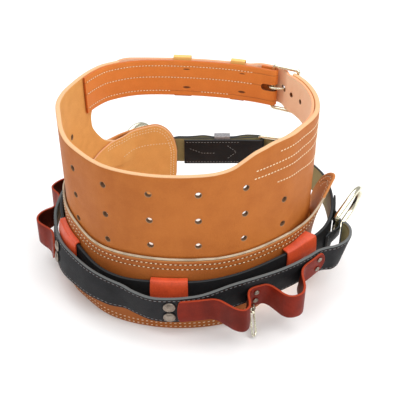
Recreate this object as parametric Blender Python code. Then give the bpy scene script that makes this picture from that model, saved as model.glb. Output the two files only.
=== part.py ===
"""Lineman belt: a tall leather back pad in a padded cushion, with the load strap, tool strap and D-rings.

Sizes are in millimetres and become metres when a mesh is made. +Z is up, -Y is the wearer's back.
"""
import math

import bpy
import bmesh
import numpy as np

MM = 0.001
GAP = 0.3
LAYER_GAP = 0.5

# Driving sizes
PAD_THICK = 6.5
HOLE_RADIUS = 3.5
HOLE_SIDES = 8
CUSHION_THICK = 4.0
LINING_THICK = 2.8
WIDE_STRAP = 57.0
BLACK_STRAP = 44.5
BLACK_THICK = 4.2
STRIP_WIDTH = 38.0
STRIP_THICK = 3.0
BUCKLE_STRAP_THICK = 3.5
TONGUE_THICK = 3.8
D_RING_WIRE = 4.25
D_RING_WIDTH = 56.0
D_RING_HEIGHT = 70.0
WAIST_TOP = 264.5

# The pad's outer face in plan, going round from the middle of the back towards +X
WAIST = [
    # x, y
    (0, -104), (57, -88), (110, -56), (133, -30), (149, -6), (158, 20), (162, 50), (160, 80), (151, 112),
    (133, 140), (100, 160), (55, 176), (0, 187), (-62, 192), (-105, 188), (-142, 171), (-160, 152),
    (-173, 129), (-184, 102), (-192, 76), (-195, 45), (-190, 15), (-182, -12), (-165, -38), (-121, -81),
    (-63, -102),
]


def spline(rows, closed=False, parts=16):
    """Smooth curve through the rows: a Catmull-Rom cubic between each two of them."""
    rows = np.asarray(rows, float)
    count = len(rows)
    last = count if closed else count - 1
    points = []
    for i in range(last):
        if closed:
            a, b, c, d = (rows[(i + k) % count] for k in (-1, 0, 1, 2))
        else:
            a, b, c, d = (rows[min(max(i + k, 0), count - 1)] for k in (-1, 0, 1, 2))
        for t in np.arange(parts) / parts:
            points.append(0.5 * (2 * b + (c - a) * t + (2 * a - 5 * b + 4 * c - d) * t ** 2
                                 + (3 * b - a - 3 * c + d) * t ** 3))
    points.append(rows[0] if closed else rows[-1])
    return np.array(points)


def lengths(points):
    """Distance along a polyline at each of its points."""
    return np.r_[0, np.cumsum(np.linalg.norm(np.diff(points[:, :2], axis=0), axis=1))]


RING = spline(WAIST, closed=True, parts=40)
RING_AT = lengths(RING)
ROUND = RING_AT[-1]


def ring_point(s):
    s = np.mod(s, ROUND)
    return np.array([np.interp(s, RING_AT, RING[:, 0]), np.interp(s, RING_AT, RING[:, 1])])


def ring_normal(s, reach=4.0):
    step = ring_point(s + reach) - ring_point(s - reach)
    step /= np.linalg.norm(step)
    return np.array([step[1], -step[0]])


def ring_tangent(s):
    normal = ring_normal(s)
    return np.array([-normal[1], normal[0]])


def off_ring(s, out):
    """Plan point at a distance s round the pad and out from its outer face."""
    return ring_point(s) + out * ring_normal(s)


def ring_rows(rows, parts=6):
    """Rows of (s, out, ...), smoothed, as rows of (x, y, ...)."""
    return [tuple(off_ring(row[0], row[1])) + tuple(row[2:]) for row in spline(rows, parts=parts)]


def column(table, place, which):
    """One column of a table, read smoothly enough at a place in its first column."""
    table = np.asarray(table, float)
    return float(np.interp(place, table[:, 0], table[:, which]))


class Wall:
    """A surface round the waist: a blank's (s, height) becomes a point off the ring."""

    def __init__(self, out):
        self.out = out

    def place(self, s, z, depth):
        x, y = off_ring(s, self.out(s, z) - depth)
        return (x, y, z)


class Strap:
    """A strap along a free path in plan. The rows are (x, y, top, lean) of its black or outer face.

    A blank's (along, drop) becomes a point: drop goes down the face, depth into the leather, which is
    on the left of the way the path runs, or on its right. A lean above 0 moves the lower edge away from
    the leather's side.
    """

    def __init__(self, rows, side="left"):
        self.path = spline(rows, parts=4)
        self.at = lengths(self.path)
        self.length = self.at[-1]
        self.sign = 1.0 if side == "left" else -1.0

    def read(self, u):
        return [float(np.interp(u, self.at, self.path[:, k])) for k in range(4)]

    def face_normal(self, u, reach=0.8):
        a = np.array(self.read(u - reach)[:2])
        b = np.array(self.read(u + reach)[:2])
        t = (b - a) / np.linalg.norm(b - a)
        return self.sign * np.array([t[1], -t[0]])

    def place(self, u, drop, depth):
        x, y, top, lean = self.read(u)
        n = self.face_normal(u)
        lean = math.radians(lean)
        shift = drop * math.sin(lean) - depth * math.cos(lean)
        return (x + n[0] * shift, y + n[1] * shift, top - drop * math.cos(lean) - depth * math.sin(lean))

    def nearest(self, x, y):
        return float(self.at[np.hypot(self.path[:, 0] - x, self.path[:, 1] - y).argmin()])


class Looped:
    """A strip that stands off a strap's face in loops. The rows are (place along the strap, off, top)."""

    def __init__(self, host, rows):
        self.host = host
        self.path = spline(rows, parts=8)
        self.at = lengths(self.path)
        self.length = self.at[-1]

    def place(self, a, drop, depth):
        reach = 0.6
        p = [float(np.interp(a, self.at, self.path[:, k])) for k in range(3)]
        q = [[float(np.interp(a + d, self.at, self.path[:, k])) for k in range(2)] for d in (-reach, reach)]
        t = np.array(q[1]) - np.array(q[0])
        t /= np.linalg.norm(t)
        u = p[0] + t[1] * depth
        off = p[1] - t[0] * depth
        z = p[2] - drop
        x, y, top, lean = self.host.read(u)
        n = self.host.face_normal(u)
        held = min(1.0, max(0.0, 1 - (off - STRIP_THICK - 2.0) / 24))
        reach_out = off + held * (top - z) * math.tan(math.radians(lean))
        return (x + n[0] * reach_out, y + n[1] * reach_out, z)


def material(name, colour, metallic, rough):
    made = bpy.data.materials.get(name)
    if made is None:
        made = bpy.data.materials.new(name)
        made.use_nodes = True
        shader = made.node_tree.nodes["Principled BSDF"]
        shader.inputs["Base Color"].default_value = colour
        shader.inputs["Metallic"].default_value = metallic
        shader.inputs["Roughness"].default_value = rough
    return made


def finish(name, points, faces, slot):
    """Make the object: metres, outward faces, its material."""
    mesh = bpy.data.meshes.new(name)
    mesh.from_pydata([tuple(MM * c for c in p) for p in points], [], faces)
    shape = bmesh.new()
    shape.from_mesh(mesh)
    bmesh.ops.recalc_face_normals(shape, faces=shape.faces[:])
    bmesh.ops.triangulate(shape, faces=shape.faces[:])
    shape.to_mesh(mesh)
    shape.free()
    made = bpy.data.objects.new(name, mesh)
    bpy.context.collection.objects.link(made)
    made.data.materials.append(MATERIALS[slot])
    return made


def circle(x, y, radius, sides=HOLE_SIDES):
    turn = 2 * math.pi / sides
    return [(x + radius * math.cos(turn * (i + 0.5)), y + radius * math.sin(turn * (i + 0.5)))
            for i in range(sides)]


def slot(x, y, length, width):
    """A hole with round ends, along the blank."""
    r = width / 2
    h = length / 2 - r
    half = [(math.cos(a), math.sin(a)) for a in np.radians([-67, -22, 22, 67])]
    return [(x + h + r * c, y + r * s) for c, s in half] + [(x - h - r * c, y - r * s) for c, s in half]


def flat_blank(outline, holes, stations, levels):
    """Triangles of a flat piece of leather with its holes, cut along the stations and the levels."""
    flat = bmesh.new()
    edges = []
    for loop in [outline] + holes:
        verts = [flat.verts.new((x, y, 0)) for x, y in loop]
        edges += [flat.edges.new((verts[i], verts[(i + 1) % len(verts)])) for i in range(len(verts))]
    bmesh.ops.triangle_fill(flat, use_beauty=True, use_dissolve=False, edges=edges)
    cuts = [((place, 0, 0), (1, 0, 0)) for place in stations]
    cuts += [((0, place, 0), (0, 1, 0)) for place in levels]
    for where, way in cuts:
        cut = bmesh.ops.bisect_plane(flat, geom=flat.verts[:] + flat.edges[:] + flat.faces[:], dist=1e-5,
                                     plane_co=where, plane_no=way)
        for part in cut["geom_cut"]:
            if isinstance(part, bmesh.types.BMEdge):
                part.seam = True
    bmesh.ops.dissolve_limit(flat, angle_limit=0.01, use_dissolve_boundaries=False, verts=flat.verts[:],
                             edges=flat.edges[:], delimit={"SEAM"})
    bmesh.ops.triangulate(flat, faces=flat.faces[:], quad_method="BEAUTY", ngon_method="BEAUTY")
    flat.verts.index_update()
    points = [(v.co.x, v.co.y) for v in flat.verts]
    tris = []
    for face in flat.faces:
        ring = [v.index for v in face.verts]
        tris.append(ring if face.normal.z > 0 else ring[::-1])
    flat.free()
    return points, tris


def cut_leather(name, home, outline, thick, slot_name, holes=(), step=12.0, extra=(), levels=()):
    """Cut a flat blank, give it its thickness and lay it where its home places it."""
    across = [p[0] for p in outline]
    first, last = min(across), max(across)
    grid = np.arange(math.ceil(first / step) * step, last, step)
    stations = sorted(set(g for g in grid if first + 1 < g < last - 1) | set(extra))
    points, tris = flat_blank(list(outline), [list(h) for h in holes], stations, levels)
    total = len(points)
    outer = [home.place(x, y, 0.0) for x, y in points]
    inner = [home.place(x, y, thick) for x, y in points]
    used = {}
    for tri in tris:
        for i in range(3):
            edge = (tri[i], tri[(i + 1) % 3])
            used[edge] = used.get(edge, 0) + 1
    rim = [e for e in used if (e[1], e[0]) not in used]
    faces = [tuple(t) for t in tris] + [tuple(total + i for i in t[::-1]) for t in tris]
    faces += [(b, a, a + total, b + total) for a, b in rim]
    return finish(name, outer + inner, faces, slot_name)


def strap_outline(length, width, start=0.0, nose=0.0):
    """A strap's blank from one end to the other, with cut corners of a given length at each end."""
    def end(cut):
        return [(0, 0.5), (0.12, 0.28), (0.45, 0.08), (1, 0)] if cut else [(0, 0)]
    left = [(start * a, width * b) for a, b in end(start)]
    right = [(length - nose * a, width * b) for a, b in end(nose)]
    top = left + right[::-1]
    bottom = [(x, width - y) for x, y in top[::-1] if 0 < abs(y - width / 2)]
    return top + bottom


def tube(name, path, radius, slot_name, sides=8, closed=False, taper=None):
    """A round bar along a path of points, its section carried along without twist."""
    path = np.asarray(path, float)
    count = len(path)
    ahead = np.roll(path, -1, axis=0) - np.roll(path, 1, axis=0)
    if not closed:
        ahead[0] = path[1] - path[0]
        ahead[-1] = path[-1] - path[-2]
    ahead /= np.linalg.norm(ahead, axis=1)[:, None]
    side = np.cross(ahead[0], (0.31, 0.17, 0.94))
    side /= np.linalg.norm(side)
    points = []
    for i in range(count):
        side = side - ahead[i] * side.dot(ahead[i])
        side /= np.linalg.norm(side)
        up = np.cross(ahead[i], side)
        r = radius * (taper[i] if taper is not None else 1.0)
        for k in range(sides):
            angle = 2 * math.pi * (k + 0.5) / sides
            points.append(path[i] + r * (math.cos(angle) * side + math.sin(angle) * up))
    faces = []
    for i in range(count if closed else count - 1):
        for k in range(sides):
            a, b = i * sides + k, i * sides + (k + 1) % sides
            j = (i + 1) % count
            c, d = j * sides + (k + 1) % sides, j * sides + k
            faces.append((a, b, c, d))
    if not closed:
        faces.append(tuple(range(sides))[::-1])
        faces.append(tuple((count - 1) * sides + k for k in range(sides)))
    return finish(name, points, faces, slot_name)


def turned(name, centre, axis, profile, slot_name, sides=9):
    """A body turned about an axis: the profile is (along the axis, radius), closed on the axis."""
    axis = np.asarray(axis, float) / np.linalg.norm(axis)
    side = np.cross(axis, (0.1, 0.2, 0.97))
    side /= np.linalg.norm(side)
    up = np.cross(axis, side)
    points = [np.asarray(centre) + axis * profile[0][0]]
    for along, radius in profile[1:-1]:
        for k in range(sides):
            angle = 2 * math.pi * k / sides
            points.append(centre + axis * along + radius * (math.cos(angle) * side + math.sin(angle) * up))
    points.append(np.asarray(centre) + axis * profile[-1][0])
    rings = len(profile) - 2
    faces = [(0, 1 + (k + 1) % sides, 1 + k) for k in range(sides)]
    for i in range(rings - 1):
        for k in range(sides):
            a, b = 1 + i * sides + k, 1 + i * sides + (k + 1) % sides
            faces.append((a, b, b + sides, a + sides))
    top = 1 + rings * sides
    faces += [(top, 1 + (rings - 1) * sides + k, 1 + (rings - 1) * sides + (k + 1) % sides)
              for k in range(sides)]
    return finish(name, points, faces, slot_name)


def hoop(name, stations, inside, thick, slot_name, corner=1.2):
    """A keeper that goes all the way round: inside is (out0, out1, z0, z1) of the room in it."""
    out0, out1, z0, z1 = inside

    def rounded(grow):
        a, b, c, d = out0 - grow, out1 + grow, z0 - grow, z1 + grow
        r = corner + grow * 0.6
        k = 0.3 * r
        return [(a + r, c), (b - r, c), (b - k, c + k), (b, c + r), (b, d - r), (b - k, d - k), (b - r, d),
                (a + r, d), (a + k, d - k), (a, d - r), (a, c + r), (a + k, c + k)]
    inner, outer = rounded(0), rounded(thick)
    n = len(inner)
    points = []
    for place in stations:
        points += [place(out, z) for out, z in inner] + [place(out, z) for out, z in outer]
    faces = []
    for i in range(len(stations)):
        for k in range(n):
            j = (k + 1) % n
            base = 2 * n * i
            if i in (0, len(stations) - 1):
                faces.append((base + k, base + j, base + n + j, base + n + k))
            if i < len(stations) - 1:
                nxt = base + 2 * n
                faces.append((base + k, base + j, nxt + j, nxt + k))
                faces.append((base + n + k, base + n + j, nxt + n + j, nxt + n + k))
    return finish(name, points, faces, slot_name)


def at_ring(s):
    """Places a section's (out, z) at a distance s round the waist."""
    p, n = ring_point(s), ring_normal(s)
    return lambda out, z: (p[0] + n[0] * out, p[1] + n[1] * out, z)


for old in list(bpy.data.objects):
    bpy.data.objects.remove(old, do_unlink=True)

MATERIALS = {
    "tan_leather": material("tan_leather", (0.52, 0.22, 0.055, 1), 0.0, 0.55),
    "orange_leather": material("orange_leather", (0.55, 0.17, 0.03, 1), 0.0, 0.5),
    "pink_leather": material("pink_leather", (0.70, 0.34, 0.22, 1), 0.0, 0.6),
    "black_leather": material("black_leather", (0.012, 0.012, 0.014, 1), 0.0, 0.5),
    "red_leather": material("red_leather", (0.42, 0.07, 0.025, 1), 0.0, 0.4),
    "latigo_leather": material("latigo_leather", (0.20, 0.03, 0.018, 1), 0.0, 0.4),
    "grey_welt": material("grey_welt", (0.45, 0.40, 0.33, 1), 0.0, 0.6),
    "nickel": material("nickel", (0.72, 0.71, 0.62, 1), 1.0, 0.25),
    "antique_metal": material("antique_metal", (0.24, 0.20, 0.18, 1), 1.0, 0.35),
}

# Back pad
PAD_OUTLINE = [
    # s, z
    (-439, 265), (-393, 265), (-290, 265), (-255, 262), (-225, 252), (-200, 246), (-170, 243), (-100, 241.5),
    (0, 241.5), (25, 242.5), (42, 246), (54, 252), (70, 260), (86, 264), (110, 268), (185, 270), (240, 266),
    (332, 266), (332, 209), (282, 209), (270, 206), (263.5, 197), (262, 185), (263, 173), (265, 150),
    (260, 112), (240, 92), (-403, 92), (-427, 108), (-428, 128), (-404, 139), (-391, 152), (-376, 173),
    (-373, 186), (-374, 197), (-380, 206), (-393, 209), (-439, 209),
]
HOLE_PITCH = 62.0
HOLE_FIRST = -312.0
HOLE_ROWS = (214.5, 175.0, 135.5)
HOLE_SHIFTS = [
    # s, how far each row lies from its height
    (-330, 19, 17, 15), (-300, 17, 15, 13), (-260, 11, 7, 5), (-225, 2, -2, -3), (-190, -3, -5, -4),
    (-128, 0, -6, -7), (-66, 0, 0, 0), (200, 0, 0, 0),
]
holes = []
for i in range(8):
    s = HOLE_FIRST + HOLE_PITCH * i
    for row, z in enumerate(HOLE_ROWS):
        if row == 0 and i in (0, 7):
            continue
        holes.append(circle(s, z + column(HOLE_SHIFTS, s, row + 1), HOLE_RADIUS))
cut_leather("back_pad", Wall(lambda s, z: 0.0), PAD_OUTLINE, PAD_THICK, "tan_leather", holes, step=16)

# Cushion
FLARE = [(-900, 0), (130, 0), (163, 10), (190, 16), (219, 26), (236, 31), (272, 31)]


def cushion_out(s, z):
    low = 4.5 + max(0.0, 100 - z) * 0.055
    high = column(FLARE, s, 1) * max(0.0, (z - 60) / 90) ** 1.4
    return low + high


CUSHION_TOP = [
    # s, z
    (-526, 100), (-522, 120), (-515, 134), (-505, 143.5), (-492, 148), (-475, 145), (-455, 141), (-436, 138),
    (-410, 133), (-360, 130), (-300, 130), (-230, 131), (-205, 127), (-191, 122), (-174, 116), (-152, 112.5),
    (-115, 113.5), (-60, 114.5), (0, 113.5), (25, 112), (75, 112), (117, 113.5), (161, 114), (195, 120),
    (215, 129), (229, 140), (238, 147), (248, 145), (258, 137), (266, 124), (270, 105),
]
CUSHION_BOTTOM = [
    (269, 60), (261, 25), (248, 6), (235, 0), (210, 0), (190, 6), (165, 18), (130, 24), (95, 18), (60, 7),
    (30, 0), (-270, 0), (-310, 8), (-345, 20), (-380, 25), (-420, 19), (-450, 6), (-467, 0), (-490, 0),
    (-505, 7), (-517, 27), (-524, 55),
]
CUSHION_LEVELS = (74, 100, 122)
LINING_LEVELS = (74, 90, 100)
cushion_edge = [tuple(p) for p in spline(CUSHION_TOP, parts=3)]
cut_leather("cushion", Wall(cushion_out), cushion_edge + CUSHION_BOTTOM, CUSHION_THICK, "tan_leather",
            step=15, levels=CUSHION_LEVELS)

POCKET_LOW = (74.0, 90.0)
LEFT_POCKET = (-457.0, -432.0)
POCKET_STATIONS = (-457, -445, -432)


def lining_out(s, z):
    """Inside the pad where the pad is, else close behind the cushion's outer layer."""
    joined = cushion_out(s, z) - CUSHION_THICK - LAYER_GAP
    inside = -PAD_THICK - LAYER_GAP
    rise = min(1.0, max(0.0, (z - POCKET_LOW[0]) / (POCKET_LOW[1] - POCKET_LOW[0])))
    side = min(1.0, max(0.0, (s - LEFT_POCKET[0]) / (LEFT_POCKET[1] - LEFT_POCKET[0])))
    share = rise * side
    share = share * share * (3 - 2 * share)
    return joined + (inside - joined) * share


LINING_TOP = [
    (-526, 100), (-522, 120), (-515, 134), (-505, 143.5), (-492, 148), (-475, 145), (-455, 141), (-436, 138),
    (-410, 133), (-370, 125), (-330, 113), (-280, 105), (180, 105), (215, 112), (240, 122), (252, 118),
    (258, 105),
]
LINING_BOTTOM = [
    (258, 40), (250, 12), (235, 2), (210, 2), (190, 8), (165, 20), (130, 26), (95, 20), (60, 9), (30, 2),
    (-270, 2), (-310, 10), (-345, 22), (-380, 27), (-420, 21), (-450, 8), (-467, 2), (-490, 2), (-505, 9),
    (-517, 28), (-524, 55),
]
cut_leather("cushion_lining", Wall(lining_out), LINING_TOP + LINING_BOTTOM, LINING_THICK, "tan_leather",
            step=15, extra=POCKET_STATIONS, levels=LINING_LEVELS)

WELT_RADIUS = 1.6
WELT_RISE = 2.0
WELT_ENDS = (-410, 212)
edge = np.array([row for row in spline(CUSHION_TOP, parts=6) if WELT_ENDS[0] < row[0] < WELT_ENDS[1]])
edge_at = lengths(edge)
marks = np.r_[np.arange(0, 48, 6), np.arange(60, edge_at[-1] - 60, 15), edge_at[-1] - np.arange(54, -1, -6)]
edge = np.c_[np.interp(marks, edge_at, edge[:, 0]), np.interp(marks, edge_at, edge[:, 1])]
edge_way = np.gradient(edge, axis=0)
edge_way /= np.linalg.norm(edge_way, axis=1)[:, None]
welt_path = []
for (s, z), (ds, dz) in zip(edge, edge_way):
    s, z = s - WELT_RISE * dz, z + WELT_RISE * ds
    welt_path.append(tuple(off_ring(s, cushion_out(s, z) - 0.5 * CUSHION_THICK + 0.3)) + (z,))
tube("cushion_welt", welt_path, WELT_RADIUS, "grey_welt", sides=6)

# Waist buckle: the left strap is folded round bar L, the right one passes inside bar R
BAR_L, BAR_R = 367.0, 329.0
BAR_L_OUT, BAR_R_OUT = -3.7, 3.4
FRAME_WIRE = 2.8
FRAME_Z = (202.4, 269.6)
FOLD_ROOM = 0.6
FOLD_RADIUS = FRAME_WIRE + FOLD_ROOM
BUCKLE_STRAP_OUT = -PAD_THICK - 0.9
back = BAR_L - ROUND
fold = [(back - FOLD_RADIUS * math.sin(a), BAR_L_OUT - FOLD_RADIUS * math.cos(a))
        for a in np.radians([0, 30, 60, 90, 120, 150, 180])]
strap_rows = [(s, BUCKLE_STRAP_OUT) for s in range(-359, -660, -25)] + [(back + 6, BUCKLE_STRAP_OUT)] + fold
strap_rows += [(back + 6, fold[-1][1]), (back + 14, fold[-1][1]), (back + 21, -0.9)]
buckle_strap_home = Strap(ring_rows([(s, out, WAIST_TOP, 0) for s, out in strap_rows]), side="right")
bar_u = buckle_strap_home.nearest(*off_ring(*fold[3]))
fine = [bar_u + d for d in (-16, -9, -5.4, -4, -2.7, -1.3, 0, 1.3, 2.7, 4, 5.4, 9, 16)]
prong_slot = slot(bar_u - 3, WIDE_STRAP * 0.5, 36, 9)
cut_leather("buckle_strap", buckle_strap_home, strap_outline(buckle_strap_home.length, WIDE_STRAP),
            BUCKLE_STRAP_THICK, "orange_leather", [prong_slot], extra=fine)

tongue_rows = [
    # s, out of its outer face
    (70, -7.3), (120, -7.3), (170, -7.3), (220, -7.3), (270, -7.3), (310, -7.3), (324, -7.3), (333, -7.3),
    (340, -4.6), (348, 1.8), (354, 5.6), (360, 7.6), (367, 7.8), (380, 7.8), (391, 7.4), (398, 4.4),
    (404, 1.2), (410, 0.0), (435, -0.4), (460, -0.4), (520, -0.4), (550, -0.4), (575, 1.4), (592, 4.5),
    (612, 4.8), (626, 4.8),
]
tongue_home = Strap(ring_rows([(s, out, WAIST_TOP + 0.6, 0) for s, out in tongue_rows]))
TONGUE_HOLES = (298, 325)
TAIL_HOLE = 372
holes = [circle(tongue_home.nearest(*off_ring(s, -6.8)), WIDE_STRAP * 0.5, 3.0) for s in TONGUE_HOLES]
pierced = tongue_home.nearest(*off_ring(347, 0.8))
holes.append(slot(pierced, WIDE_STRAP * 0.5, 15, 6.4))
holes.append(circle(tongue_home.nearest(*off_ring(TAIL_HOLE, 6)), WIDE_STRAP * 0.5, 3.0))
tongue_outline = strap_outline(tongue_home.length, WIDE_STRAP, start=60, nose=30)
cut_leather("tongue", tongue_home, tongue_outline, TONGUE_THICK,
            "pink_leather", holes, step=14, extra=[pierced + d for d in (-9, -4, 4, 9)])

KEEPER_THICK = 1.3
KEEPER_ROOM = (-4.9, 0.9, WAIST_TOP - WIDE_STRAP - 2.6, WAIST_TOP + 3.6)
KEEPERS = [("strap_keeper_1", -524, -551), ("strap_keeper_2", -612, -634)]
for name, s0, s1 in KEEPERS:
    stations = [at_ring(s) for s in (s0, (s0 + s1) / 2, s1)]
    hoop(name, stations, KEEPER_ROOM, KEEPER_THICK, "tan_leather")


def frame_path(corner, left, right, heights, radius=4.0):
    """A rectangle with round corners between two upright bars, as points."""
    width = math.hypot(right[0] - left[0], right[1] - left[1])
    path = []
    low, high = heights[0] + radius, heights[1] - radius
    corners = [(width - radius, high), (radius, high), (radius, low), (width - radius, low)]
    for quarter, (along, z) in enumerate(corners):
        for step in range(corner + 1):
            a = math.radians(90) * (quarter + step / corner)
            path.append((along + radius * math.cos(a), z + radius * math.sin(a)))
    return [(left[0] + (right[0] - left[0]) * a / width, left[1] + (right[1] - left[1]) * a / width, z)
            for a, z in path]


left_bar, right_bar = off_ring(BAR_L, BAR_L_OUT), off_ring(BAR_R, BAR_R_OUT)
tube("waist_buckle_frame", frame_path(4, left_bar, right_bar, heights=FRAME_Z), FRAME_WIRE, "nickel",
     closed=True)
PRONG_WIRE = 1.8
mid_z = WAIST_TOP - WIDE_STRAP / 2
prong_rows = [
    # s, out
    (369.5, 0.9), (372.0, -2.6), (371.4, -6.4), (367.5, -8.7), (361, -8.2), (355, -5.8), (349.5, -2.2),
    (344, 2.2), (338, 6.6), (333, 8.4), (328, 9.0), (322, 8.8),
]
prong_path = spline([tuple(off_ring(s, out)) + (mid_z,) for s, out in prong_rows], parts=2)
thin = np.linspace(1.05, 0.85, len(prong_path))
tube("waist_buckle_prong", prong_path, PRONG_WIRE, "nickel", sides=6, taper=thin)

LOAD_TABLE = [
    # s, out, top, lean
    (-500, 15.0, 117, 3), (-480, 15.0, 114, 3), (-460, 15.5, 112, 3), (-430, 14.5, 110, 3),
    (-391, 12.0, 109, 3), (-350, 11.2, 109, 3), (-300, 11.0, 108, 3), (-250, 11.0, 106, 3),
    (-215, 11.0, 102, 3), (-190, 11.0, 96, 3), (-165, 11.0, 88, 3), (-140, 11.0, 82, 3),
    (-100, 11.2, 80, 3), (-60, 11.2, 83, 3), (-16, 11.2, 84, 3), (20, 11.2, 85, 3), (54, 11.2, 87, 3),
    (92, 12.0, 90, 3), (117, 13.5, 92, 2), (141, 17, 94, 0), (168, 24.5, 97, 0), (186, 30.5, 101, 0),
    (201, 33.5, 105, 0), (214, 34.5, 108, 0), (236, 34.5, 110, 0), (255, 35, 110, 0), (285, 36, 111, 0),
    (307, 34, 112, 0), (330, 32, 114, 0),
]
# Load strap: folded round the front buckle at one end, its tail passes through that buckle at the other
FRONT_TOP = 118.0
FRONT_BAR_L = (98.0, 201.0)
FRONT_BAR_R = (134.5, 191.5)
FRONT_WIRE = 3.0
turn_r = FRONT_WIRE + FOLD_ROOM + BLACK_THICK
load_rows = [(x, y, FRONT_TOP, 0) for x, y in
             [(-26, 194), (0, 193.9), (30, 194), (60, 194.2), (84, 193.6), (93, 193.2)]]
load_rows += [(FRONT_BAR_L[0] + turn_r * math.sin(a), FRONT_BAR_L[1] - turn_r * math.cos(a), FRONT_TOP, 0)
              for a in np.radians([0, 30, 60, 90, 120, 150, 180])]
load_rows += [(x, y, FRONT_TOP, 0) for x, y in
              [(92, 208.6), (82, 207.4), (66, 205.2), (50, 204.8), (23, 204.6), (-3, 204.6), (-28, 205)]]
load_rows += ring_rows(LOAD_TABLE)
load_rows += [(x, y, FRONT_TOP - GAP, 0) for x, y in
              [(143, 176), (131, 187.6), (121, 198), (112, 207.6), (104, 212.9), (95, 214.2), (80, 215.5),
               (70, 214), (60, 210.6), (50, 209.4), (36, 209.3), (23, 209.4), (14, 212), (4, 213.5),
               (-8, 211.5), (-24, 210), (-40, 212.5), (-54, 216)]]
load = Strap(load_rows)
front_u = load.nearest(FRONT_BAR_L[0] + turn_r, FRONT_BAR_L[1])
fine = [front_u + d for d in (-21, -16, -12.2, -9.7, -7.3, -4.9, -2.4, 0, 2.4, 4.9, 7.3, 9.7, 12.2, 16, 21)]
half_way = len(load.at) // 2
gone = np.hypot(load.path[half_way:, 0] - 119.5, load.path[half_way:, 1] - 199.6)
tail_at = float(load.at[half_way + gone.argmin()])
load_holes = [slot(front_u, BLACK_STRAP / 2, 44, 8.5), slot(tail_at, BLACK_STRAP / 2, 15, 6.4)]
load_holes += [circle(tail_at + d, BLACK_STRAP / 2, 2.6) for d in (-76, -38, 38)]
load_outline = strap_outline(load.length, BLACK_STRAP, nose=26)
cut_leather("load_strap", load, load_outline, BLACK_THICK, "black_leather",
            load_holes, step=16, extra=fine + [tail_at + d for d in (-16, -8, 0, 8, 16, 24)])
FRONT_HEIGHTS = (FRONT_TOP - BLACK_STRAP - 4.0, FRONT_TOP + 3.8)
tube("roller_buckle_frame", frame_path(4, FRONT_BAR_L, FRONT_BAR_R, heights=FRONT_HEIGHTS), FRONT_WIRE,
     "nickel", closed=True)
bar_way = np.array(FRONT_BAR_R) - np.array(FRONT_BAR_L)
bar_way /= np.linalg.norm(bar_way)
bar_out = np.array([-bar_way[1], bar_way[0]])


def front_point(along, out):
    """Plan point from bar L of the front buckle: along its frame and out of it."""
    return tuple(np.array(FRONT_BAR_L) + along * bar_way + out * bar_out)


front_mid = FRONT_TOP - BLACK_STRAP / 2
front_prong = spline([front_point(a, b) + (front_mid,) for a, b in
                      [(-3.6, 3.8), (-5.2, -0.4), (-3.4, -4.2), (1.5, -5.5), (8, -4.8), (14, -3.2), (20, 0.2),
                       (26, 4.0), (32, 5.8), (41, 5.9)]], parts=2)
tube("roller_buckle_prong", front_prong, PRONG_WIRE, "nickel", sides=6,
     taper=np.linspace(1.05, 0.85, len(front_prong)))
front_stations = [lambda out, z, x=x: (x, 201 + out, z) for x in (23.5, 36.5, 49.5)]
front_room = (-1.2, 10.0, FRONT_TOP - BLACK_STRAP - 1.6, FRONT_TOP + 3.2)
hoop("front_keeper", front_stations, front_room, KEEPER_THICK, "grey_welt")

# D-rings, each between the load strap and an outer ply that is sewn over its bar
D_SLANT = 0.51
D_BOW = (0.73, 0.42, 0.535)
D_RINGS = [("right", 214.0, 79.0, 1), ("left", -444.0, 77.0, -1)]


LOAD_FINE = spline(LOAD_TABLE, parts=6)


def load_face(s, z):
    """How far out the load strap's outer face is at a place on it, away from the front."""
    out, top, lean = (float(np.interp(s, LOAD_FINE[:, 0], LOAD_FINE[:, k])) for k in (1, 2, 3))
    return out + (top - z) * math.tan(math.radians(lean))


CHAPE_THICK = 3.0
CHAPE_HALF = 27.0
CHAPE_HEIGHT = 38.0
for name, mid, level, way in D_RINGS:
    bar_out_at = load_face(mid, level) + 1.2 + D_RING_WIRE

    def slanted(z, mid=mid, level=level, way=way):
        return mid - way * (z - level) * D_SLANT

    def chape_out(s, z, slanted=slanted, bar=bar_out_at):
        near = abs(s - slanted(z))
        lift = bar + D_RING_WIRE + GAP - load_face(s, z)
        bump = lift * min(1.0, max(0.0, 1.35 - near / 15.0)) if near < 20.25 else 0.0
        bump = max(bump, GAP + 0.2)
        return load_face(s, z) + min(bump, lift) + CHAPE_THICK
    low, high = level - CHAPE_HEIGHT / 2, level + CHAPE_HEIGHT / 2
    rise = way * CHAPE_HALF * D_SLANT
    outline = [(mid - CHAPE_HALF, high - rise), (mid + CHAPE_HALF, high + rise),
               (mid + CHAPE_HALF, low + rise), (mid - CHAPE_HALF, low - rise)]
    steps = [mid + d for d in range(-24, 25, 4)]
    cut_leather("d_ring_chape_" + name, Wall(chape_out), outline, CHAPE_THICK, "black_leather", step=12,
                extra=steps, levels=[low + (high - low) * k / 5 for k in range(1, 5)])
    tangent, normal = ring_tangent(mid), ring_normal(mid)
    local = lambda a, b, c: np.array([tangent[0] * a + normal[0] * b, tangent[1] * a + normal[1] * b, c])
    bar = local(way * D_SLANT, 0, -1)
    bar /= np.linalg.norm(bar)
    bow = local(way * D_BOW[0], D_BOW[1], D_BOW[2])
    bow -= bar * bow.dot(bar)
    bow /= np.linalg.norm(bow)
    centre = np.array(tuple(off_ring(mid, bar_out_at)) + (level,))
    half = D_RING_WIDTH / 2
    leg = D_RING_HEIGHT - half
    flat = [(-half + 4, 0), (0, 0), (half - 4, 0), (half - 1, 1.0), (half, 4), (half, leg * 0.5)]
    flat += [(half * math.cos(a), leg + half * math.sin(a)) for a in np.radians(range(0, 181, 15))]
    flat += [(-half, leg * 0.5), (-half, 4), (-half + 1, 1.0)]
    tube("d_ring_" + name, [centre + bar * a + bow * b for a, b in flat], D_RING_WIRE, "nickel", closed=True)

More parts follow.
